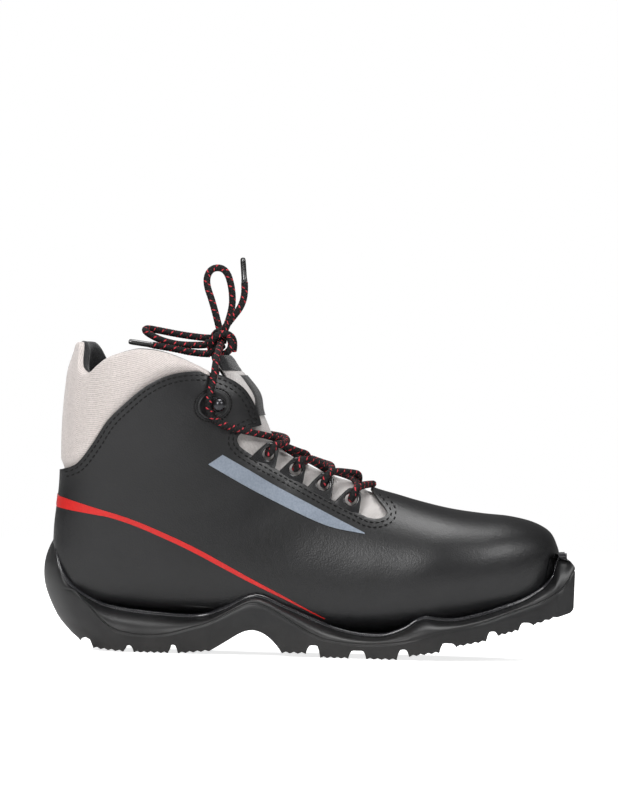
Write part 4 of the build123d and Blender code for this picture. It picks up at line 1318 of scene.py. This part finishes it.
@dataclass
class Hardware:
    """The moulded lace loops and the metal lace hooks."""

    holes: tuple[Pair, ...] = ((-26.7, 114.8), (-10.9, 106.4), (5.6, 97.8), (21.7, 89.9))
    roots: tuple[Pair, ...] = ((-31.0, 105.5), (-15.4, 96.6), (0.8, 88.0), (16.6, 80.6))
    hook: Pair = (-58.4, 142.5)
    thick: float = 2.4
    hole_radius: float = 3.6
    stitch_oval: Pair = (11.2, 9.6)
    stitch_steps: int = 34

    def loop_frame(self, index: int, side: Side) -> LoopFrame:
        """Return the place of one loop."""
        hole, _ = LAST.spot(*self.holes[index], side, self.thick / 2)
        root, _ = LAST.spot(*self.roots[index], side, -2.6)
        reach = (hole - root).normalized()
        ends = []
        for step in (-0.3, 0.3):
            x = self.holes[0][0] + (self.holes[3][0] - self.holes[0][0]) * (index + step) / 3
            z = self.holes[0][1] + (self.holes[3][1] - self.holes[0][1]) * (index + step) / 3
            ends.append(LAST.spot(x, z, side)[0])
        along = (ends[1] - ends[0]).normalized()
        out = along.cross(reach).normalized()
        out = out if out.z > 0 else -out
        across = reach.cross(out).normalized()
        return LoopFrame(hole, across, out.cross(across), out)

    def loop_mesh(self, name: str) -> bpy.types.Object:
        """Return one rounded triangular loop lying flat at the origin."""
        bpy.ops.object.select_all(action="DESELECT")
        curve = bpy.data.curves.new(name, "CURVE")
        curve.dimensions = "2D"
        curve.fill_mode = "BOTH"
        curve.extrude = (self.thick / 2 - 0.75) * MM
        curve.bevel_depth = 0.75 * MM
        curve.bevel_resolution = 3
        curve.offset = -0.75 * MM
        corners = ((-8.6, -9.0), (-8.0, -6.2), (-4.9, 3.4), (-3.1, 6.1), (0.0, 7.0), (3.1, 6.1), (4.9, 3.4),
                   (8.0, -6.2), (8.6, -9.0))
        outline = curve_through(corners, 0.6)
        turns = [2 * math.pi * k / 40 for k in range(40)]
        ring = [(self.hole_radius * math.cos(a), self.hole_radius * math.sin(a)) for a in turns]
        for line in (outline, ring):
            spline = curve.splines.new("POLY")
            spline.points.add(len(line) - 1)
            for point, (x, y) in zip(spline.points, line):
                point.co = (x * MM, y * MM, 0.0, 1.0)
            spline.use_cyclic_u = True
        obj = bpy.data.objects.new(name, curve)
        bpy.context.scene.collection.objects.link(obj)
        select_only(obj)
        bpy.ops.object.convert(target="MESH")
        outward(obj)
        return obj

    def hook_frame(self, side: Side) -> LoopFrame:
        """Return the place of one lace hook."""
        seat, out = LAST.spot(*self.hook, side)
        toward = Vector((-0.041, seat.y, 0.1475)) - seat
        along = (toward - out * toward.dot(out)).normalized()
        return LoopFrame(seat, along, out.cross(along), out)

    def turned(self, name: str, place: LoopFrame, profile: Sequence[Pair], shift: float = 0.0,
               stretch: Pair = (1.0, 1.0), steps: int = 48) -> bpy.types.Object:
        """Return a turned piece: profile is radius and height from the axis, closed at both ends."""
        loops = []
        for r, h in profile:
            loops.append([place.at(shift + r * stretch[0] * math.cos(2 * math.pi * k / steps),
                                   r * stretch[1] * math.sin(2 * math.pi * k / steps), h)
                          for k in range(steps)])
        obj = loops_mesh(name, loops)
        outward(obj)
        smooth_shade(obj, 45.0)
        return obj

    def build(self, finishes: Finishes) -> None:
        """Build and place the loops and hooks."""
        for side in Side:
            name = side.name.lower()
            for index in range(4):
                place = self.loop_frame(index, side)
                loop = self.loop_mesh(f"loop_{name}_{index + 1}")
                loop.data.transform(Matrix.Translation(place.origin) @ place.matrix())
                outward(loop)
                smooth_shade(loop, 35.0)
                dress(loop, finishes.loop)
                finish_piece(loop, Body.BOOT, "loop_plastic", f"lace_loop_{name}_{index + 1}")
            place = self.hook_frame(side)
            dish = self.turned(f"hook_dish_{name}", place,
                               ((0.2, -0.8), (9.3, -0.8), (9.5, -0.2), (9.45, 0.9), (9.1, 1.35), (8.5, 1.45),
                                (7.9, 1.15), (7.3, 0.5), (6.6, 0.25), (0.2, 0.2)), 0.0, (1.0, 0.82))
            dress(dish, finishes.surround)
            finish_piece(dish, Body.BOOT, "surround_plastic", f"hook_surround_{name}")
            hook = self.turned(f"hook_{name}_metal", place,
                               ((0.1, 0.2), (4.0, 0.2), (4.2, 0.5), (4.1, 1.1), (3.4, 1.5), (2.2, 1.8),
                                (1.7, 2.6), (1.6, 4.6), (1.9, 5.5), (3.0, 6.2), (3.8, 7.4), (4.0, 8.8),
                                (3.7, 10.4), (2.8, 11.8), (1.4, 12.6), (0.1, 12.8)), 1.2)
            dress(hook, finishes.hook)
            finish_piece(hook, Body.BOOT, "hook_metal", f"lace_hook_{name}")
            ring = []
            for k in range(self.stitch_steps + 2):
                angle = 2 * math.pi * k / self.stitch_steps
                spot = place.at(self.stitch_oval[0] * math.cos(angle),
                                self.stitch_oval[1] * math.sin(angle), 0.0)
                ring.append(LAST.spot(spot.x / MM - X_SHIFT, spot.z / MM, side, 0.12))
            thread = Stitching(length=1.7).piece(f"hook_stitching_{name}", [ring])
            dress(thread, finishes.thread)
            finish_piece(thread, Body.BOOT, "upper_leather")


# ------------------------------------------------------------------ laces
@dataclass
class Lacing:
    """The round lace: two crossed halves, the bow, its free ends and their sleeves."""

    diameter: float = 4.0
    landing: Pair = (-38.0, 127.2)
    hook_route: tuple[tuple[float, ...], ...] = (
        (-40.0, 127.6, 2.6), (-54.0, 131.2, 3.0), (-61.4, 137.4, 3.7), (-61.8, 146.4, 3.7),
        (-59.5, 156.0, 3.0))
    approach: tuple[tuple[float, ...], ...] = (
        (-57.6, 33.0, 167.0), (-56.2, 22.0, 174.0), (-55.6, 10.5, 177.4), (-55.0, 5.0, 178.6))
    bow_upright: tuple[tuple[float, ...], ...] = (
        (-56.6, 1.5, 187.0), (-60.0, 2.5, 200.0), (-65.5, 5.0, 214.0), (-62.0, 7.0, 222.0),
        (-53.5, 7.0, 221.5), (-49.6, 5.5, 210.0), (-49.2, 4.0, 197.0), (-52.8, 2.0, 187.2))
    bow_side: tuple[tuple[float, ...], ...] = (
        (-63.2, 2.6, 181.0), (-75.0, 6.0, 182.0), (-90.0, 6.5, 184.5), (-99.0, 1.5, 186.0),
        (-99.0, -6.0, 183.5), (-89.0, -9.5, 178.5), (-76.0, -7.5, 176.2), (-64.2, -4.0, 177.0))
    end_upright: tuple[tuple[float, ...], ...] = (
        (-54.0, -5.8, 186.2), (-49.0, -7.8, 193.0), (-44.0, -8.5, 199.5), (-42.0, -8.0, 207.5),
        (-42.6, -7.5, 213.8))
    end_side: tuple[tuple[float, ...], ...] = (
        (-61.5, -8.2, 171.8), (-70.5, -11.0, 172.0), (-83.0, -13.5, 174.6), (-94.2, -14.0, 176.0))
    knot: tuple[tuple[tuple[float, ...], ...], ...] = (
        ((-60.0, -3.0, 172.0), (-62.0, -8.5, 176.0), (-58.5, -10.0, 182.5), (-52.0, -8.6, 184.5),
         (-47.0, -6.0, 180.0), (-48.0, -2.0, 174.0)),
        ((-58.0, 6.0, 174.0), (-61.0, 2.0, 180.5), (-57.0, -4.5, 186.0), (-50.5, -7.5, 182.5),
         (-48.5, -8.6, 176.0), (-54.0, -9.0, 170.5), (-60.5, -5.0, 172.5)),
        ((-63.5, -3.6, 178.2), (-58.5, -6.0, 179.0), (-54.5, 0.0, 180.5), (-53.0, 2.0, 186.6)),
        ((-56.4, 1.0, 186.5), (-54.0, -3.5, 181.0), (-56.5, -7.5, 176.5), (-62.0, -8.0, 171.8)),
        ((-68.0, 3.9, 181.4), (-63.0, 2.6, 181.0), (-57.5, 0.5, 181.5), (-52.0, -2.0, 182.0)),
        ((-69.0, -5.3, 176.6), (-64.0, -4.2, 177.0), (-58.5, -3.0, 178.0), (-53.0, -1.0, 180.0)),
        ((-58.4, 2.0, 193.5), (-56.6, 1.5, 187.5), (-55.4, 0.0, 183.0), (-55.0, -1.0, 178.0)),
        ((-50.2, 3.5, 193.5), (-52.6, 2.2, 187.5), (-54.0, 0.5, 183.0), (-54.0, -1.0, 178.0)),
        ((-51.5, -6.8, 189.5), (-54.0, -5.6, 185.5), (-55.5, -4.0, 181.0), (-55.0, -2.0, 177.0)),
        ((-67.0, -9.9, 171.9), (-61.5, -8.2, 172.0), (-57.0, -6.0, 174.0), (-54.0, -2.0, 177.0)))

    def route(self, points: Sequence[Sequence[float]]) -> list[Vector]:
        """Return route points in metres."""
        return [Vector(((x + X_SHIFT) * MM, y * MM, z * MM)) for x, y, z in points]

    def crossing(self, hardware: Hardware, index: int, side: Side, raised: bool) -> list[Vector]:
        """Return the points of one lace between the loops of two rows, over the tongue."""
        start, start_phi = LAST.locate(*hardware.holes[index])
        target = hardware.holes[index - 1] if index > 0 else self.landing
        end, end_phi = LAST.locate(*target)
        if side is Side.OUTER:
            start_phi, end_phi = 2 * math.pi - start_phi, 2 * math.pi - end_phi
        end_phi = 2 * math.pi - end_phi
        points = []
        for share, lift in ((0.34, -1.2), (0.5, -1.7), (0.66, 0.6)):
            u = start + (end - start) * share
            phi = start_phi + (end_phi - start_phi) * share
            lift += (4.5 if raised else 0.0) * (1.0 if share == 0.5 else 0.6)
            points.append(LAST.point(u, phi) + LAST.normal(u, phi) * lift * MM)
        return points

    def half(self, hardware: Hardware, side: Side, raised: bool) -> list[Vector]:
        """Return the route of one lace half from the bottom bar to the knot."""
        row = hardware.holes[3]
        u, _ = LAST.locate(row[0] + 1.5, row[1])
        points = [LAST.point(u, math.pi) + LAST.normal(u, math.pi) * 1.4 * MM
                  + Vector((0.0, 0.1 * MM * side.value, 0.0))]
        for index in (3, 2, 1, 0):
            place = hardware.loop_frame(index, side)
            for local in ((0, 8.4, 3.5), (0, 0.4, 3.4), (0, 0.3, -3.2), (0, 7.6, -2.6)):
                points.append(place.at(*local))
            points += self.crossing(hardware, index, side, raised)
            side = Side.INNER if side is Side.OUTER else Side.OUTER
        points += [LAST.spot(x, z, side, lift)[0] for x, z, lift in self.hook_route]
        points += [Vector(((x + X_SHIFT) * MM, y * MM * side.value, z * MM)) for x, y, z in self.approach]
        return points

    def centreline(self, points: Sequence[Vector]) -> list[Vector]:
        """Return closely spaced points along the smooth curve that the route controls."""
        curve = bpy.data.curves.new("route", "CURVE")
        curve.dimensions = "3D"
        curve.resolution_u = 16
        spline = curve.splines.new("NURBS")
        spline.points.add(len(points) - 1)
        for point, co in zip(spline.points, points):
            point.co = (*co, 1.0)
        spline.order_u = 3
        spline.use_endpoint_u = True
        obj = bpy.data.objects.new("route", curve)
        bpy.context.scene.collection.objects.link(obj)
        mesh = bpy.data.meshes.new_from_object(obj)
        line = [tuple(v.co) for v in mesh.vertices]
        bpy.data.objects.remove(obj)
        return [Vector(p) for p in evenly(line, 0.42 * MM)]

    def tube(self, name: str, line: Sequence[Vector], sides: int = 20) -> bpy.types.Object:
        """Return a braided tube along a line; its UV map is length in millimetres and turn."""
        loops = []
        count = len(line)
        frame_x = (line[1] - line[0]).orthogonal().normalized()
        radius = self.diameter / 2 * MM
        for i, point in enumerate(line):
            along = (line[min(i + 1, count - 1)] - line[max(i - 1, 0)]).normalized()
            frame_x = (frame_x - along * frame_x.dot(along)).normalized()
            frame_y = along.cross(frame_x)
            length = i * 0.42
            loop = []
            for k in range(sides):
                turn = k / sides
                a = (turn * 3 + length / 1.8) % 1.0
                b = (turn * 3 - length / 1.8) % 1.0
                swell = max(math.sin(math.pi * a), math.sin(math.pi * b)) ** 2
                r = radius * (0.93 + 0.09 * swell)
                angle = 2 * math.pi * turn
                loop.append(point + (frame_x * math.cos(angle) + frame_y * math.sin(angle)) * r)
            loops.append(loop)
        obj = loops_mesh(name, loops)
        layer = obj.data.uv_layers["UVMap"]
        for face in obj.data.polygons:
            if face.index >= (count - 1) * sides:
                continue
            i, k = divmod(face.index, sides)
            for n, (row, col) in zip(face.loop_indices, ((i, k), (i, k + 1), (i + 1, k + 1), (i + 1, k))):
                layer.data[n].uv = (row * 0.42, col / sides)
        smooth_shade(obj, 70.0)
        return obj

    def sleeve(self, name: str, points: Sequence[Sequence[float]]) -> bpy.types.Object:
        """Return the moulded sleeve on one lace end."""
        route = self.route(points)
        along = (route[-1] - route[-2]).normalized()
        x = along.orthogonal().normalized()
        place = LoopFrame(route[-1], x, along.cross(x), along)
        return Hardware().turned(name, place, ((0.2, 0.0), (1.75, 0.0), (1.8, 0.4), (1.72, 1.6), (1.6, 2.2),
                                               (1.6, 11.5), (1.5, 13.0), (1.2, 13.8), (0.5, 14.1)), steps=24)

    def build(self, hardware: Hardware, finishes: Finishes) -> None:
        """Build and place every lace piece."""
        for name, side, raised, node in (("lace_half_lower", Side.OUTER, False, "lacing_lower"),
                                         ("lace_half_upper", Side.INNER, True, "lacing_upper")):
            piece = self.tube(name, self.centreline(self.half(hardware, side, raised)))
            dress(piece, finishes.braid)
            finish_piece(piece, Body.BOOT, "lace_braid", node)
        for number, points in enumerate(self.knot):
            piece = self.tube(f"knot_turn_{number + 1}", self.centreline(self.route(points)))
            dress(piece, finishes.braid)
            finish_piece(piece, Body.BOOT, "lace_braid", *(["lace_knot"] if number == 0 else []))
        for name, points in (("upright", self.bow_upright), ("side", self.bow_side)):
            line = self.centreline(self.route(points))
            piece = self.tube(f"bow_{name}", line)
            dress(piece, finishes.braid)
            finish_piece(piece, Body.BOOT, "lace_braid", f"bow_loop_{name}")
        for name, points in (("upright", self.end_upright), ("side", self.end_side)):
            line = self.centreline(self.route(points))
            piece = self.tube(f"free_end_{name}", line)
            dress(piece, finishes.braid)
            finish_piece(piece, Body.BOOT, "lace_braid", f"lace_end_{name}")
            sleeve = self.sleeve(f"sleeve_{name}", points)
            dress(sleeve, finishes.aglet)
            finish_piece(sleeve, Body.BOOT, "aglet_plastic", f"aglet_{name}")


# ------------------------------------------------------------------ studio
@dataclass
class StudioSet:
    """Floor, lights and the long-lens camera."""

    distance: float = 4.0
    image_height: float = 0.4612
    centre: tuple[float, float] = (-0.0025, 0.1469)
    roll: float = 1.548
    ambient: float = 0.16

    def light(self, name: str, place: Sequence[float], target: Sequence[float], size: float,
              power: float) -> None:
        """Add one square area light aimed at a point."""
        lamp = bpy.data.lights.new(name, "AREA")
        lamp.size = size
        lamp.energy = power
        obj = bpy.data.objects.new(name, lamp)
        obj.location = place
        obj.rotation_euler = (Vector(target) - Vector(place)).to_track_quat("-Z", "Y").to_euler()
        bpy.context.scene.collection.objects.link(obj)

    def build(self, finishes: Finishes) -> None:
        """Build the set."""
        bpy.ops.object.select_all(action="DESELECT")
        bpy.ops.mesh.primitive_plane_add(size=6.0, location=(0.0, 0.0, 0.0))
        floor = bpy.context.object
        floor.name = "floor"
        dress(floor, finishes.paper)
        world = bpy.data.worlds.new("studio")
        world.use_nodes = True
        tree = world.node_tree
        background = tree.nodes["Background"]
        background.inputs["Color"].default_value = (1.0, 1.0, 1.0, 1.0)
        seen = tree.nodes.new("ShaderNodeLightPath")
        level = tree.nodes.new("ShaderNodeMapRange")
        level.inputs["To Min"].default_value = self.ambient
        level.inputs["To Max"].default_value = 1.0
        tree.links.new(seen.outputs["Is Camera Ray"], level.inputs["Value"])
        tree.links.new(level.outputs[0], background.inputs["Strength"])
        bpy.context.scene.world = world
        self.light("key", (-1.0, -2.0, 1.3), (0.0, 0.0, 0.09), 0.8, 34.0)
        self.light("toe", (1.5, -1.5, 1.5), (0.05, 0.0, 0.07), 0.7, 20.0)
        self.light("top", (0.1, -0.1, 1.8), (0.0, 0.0, 0.1), 0.9, 20.0)
        self.light("back", (-0.9, 1.4, 1.2), (0.0, 0.0, 0.1), 0.8, 12.0)
        camera = bpy.data.cameras.new("camera")
        camera.sensor_width = 36.0
        camera.lens = 36.0 * self.distance / self.image_height
        camera.clip_end = 100.0
        obj = bpy.data.objects.new("camera", camera)
        angle = math.radians(self.roll)
        right = Vector((math.cos(angle), 0.0, math.sin(angle)))
        up = Vector((-math.sin(angle), 0.0, math.cos(angle)))
        back = Vector((0.0, -1.0, 0.0))
        turn = Matrix((right, up, back)).transposed().to_4x4()
        place = Vector((self.centre[0], -self.distance, self.centre[1]))
        obj.matrix_world = Matrix.Translation(place) @ turn
        bpy.context.scene.collection.objects.link(obj)
        bpy.context.scene.camera = obj
        bpy.context.scene.view_settings.view_transform = "Standard"


def main() -> None:
    """Build the boot in order."""
    logging.basicConfig(level=logging.INFO, format="%(name)s %(message)s")
    finishes = Finishes()
    Upper().build(finishes)
    collar = Collar()
    collar.build(finishes)
    Interior().build(finishes)
    Tongue().build(finishes)
    Sole().build(finishes, collar.tree)
    hardware = Hardware()
    hardware.build(finishes)
    Lacing().build(hardware, finishes)
    StudioSet().build(finishes)


if __name__ == "__main__":
    main()
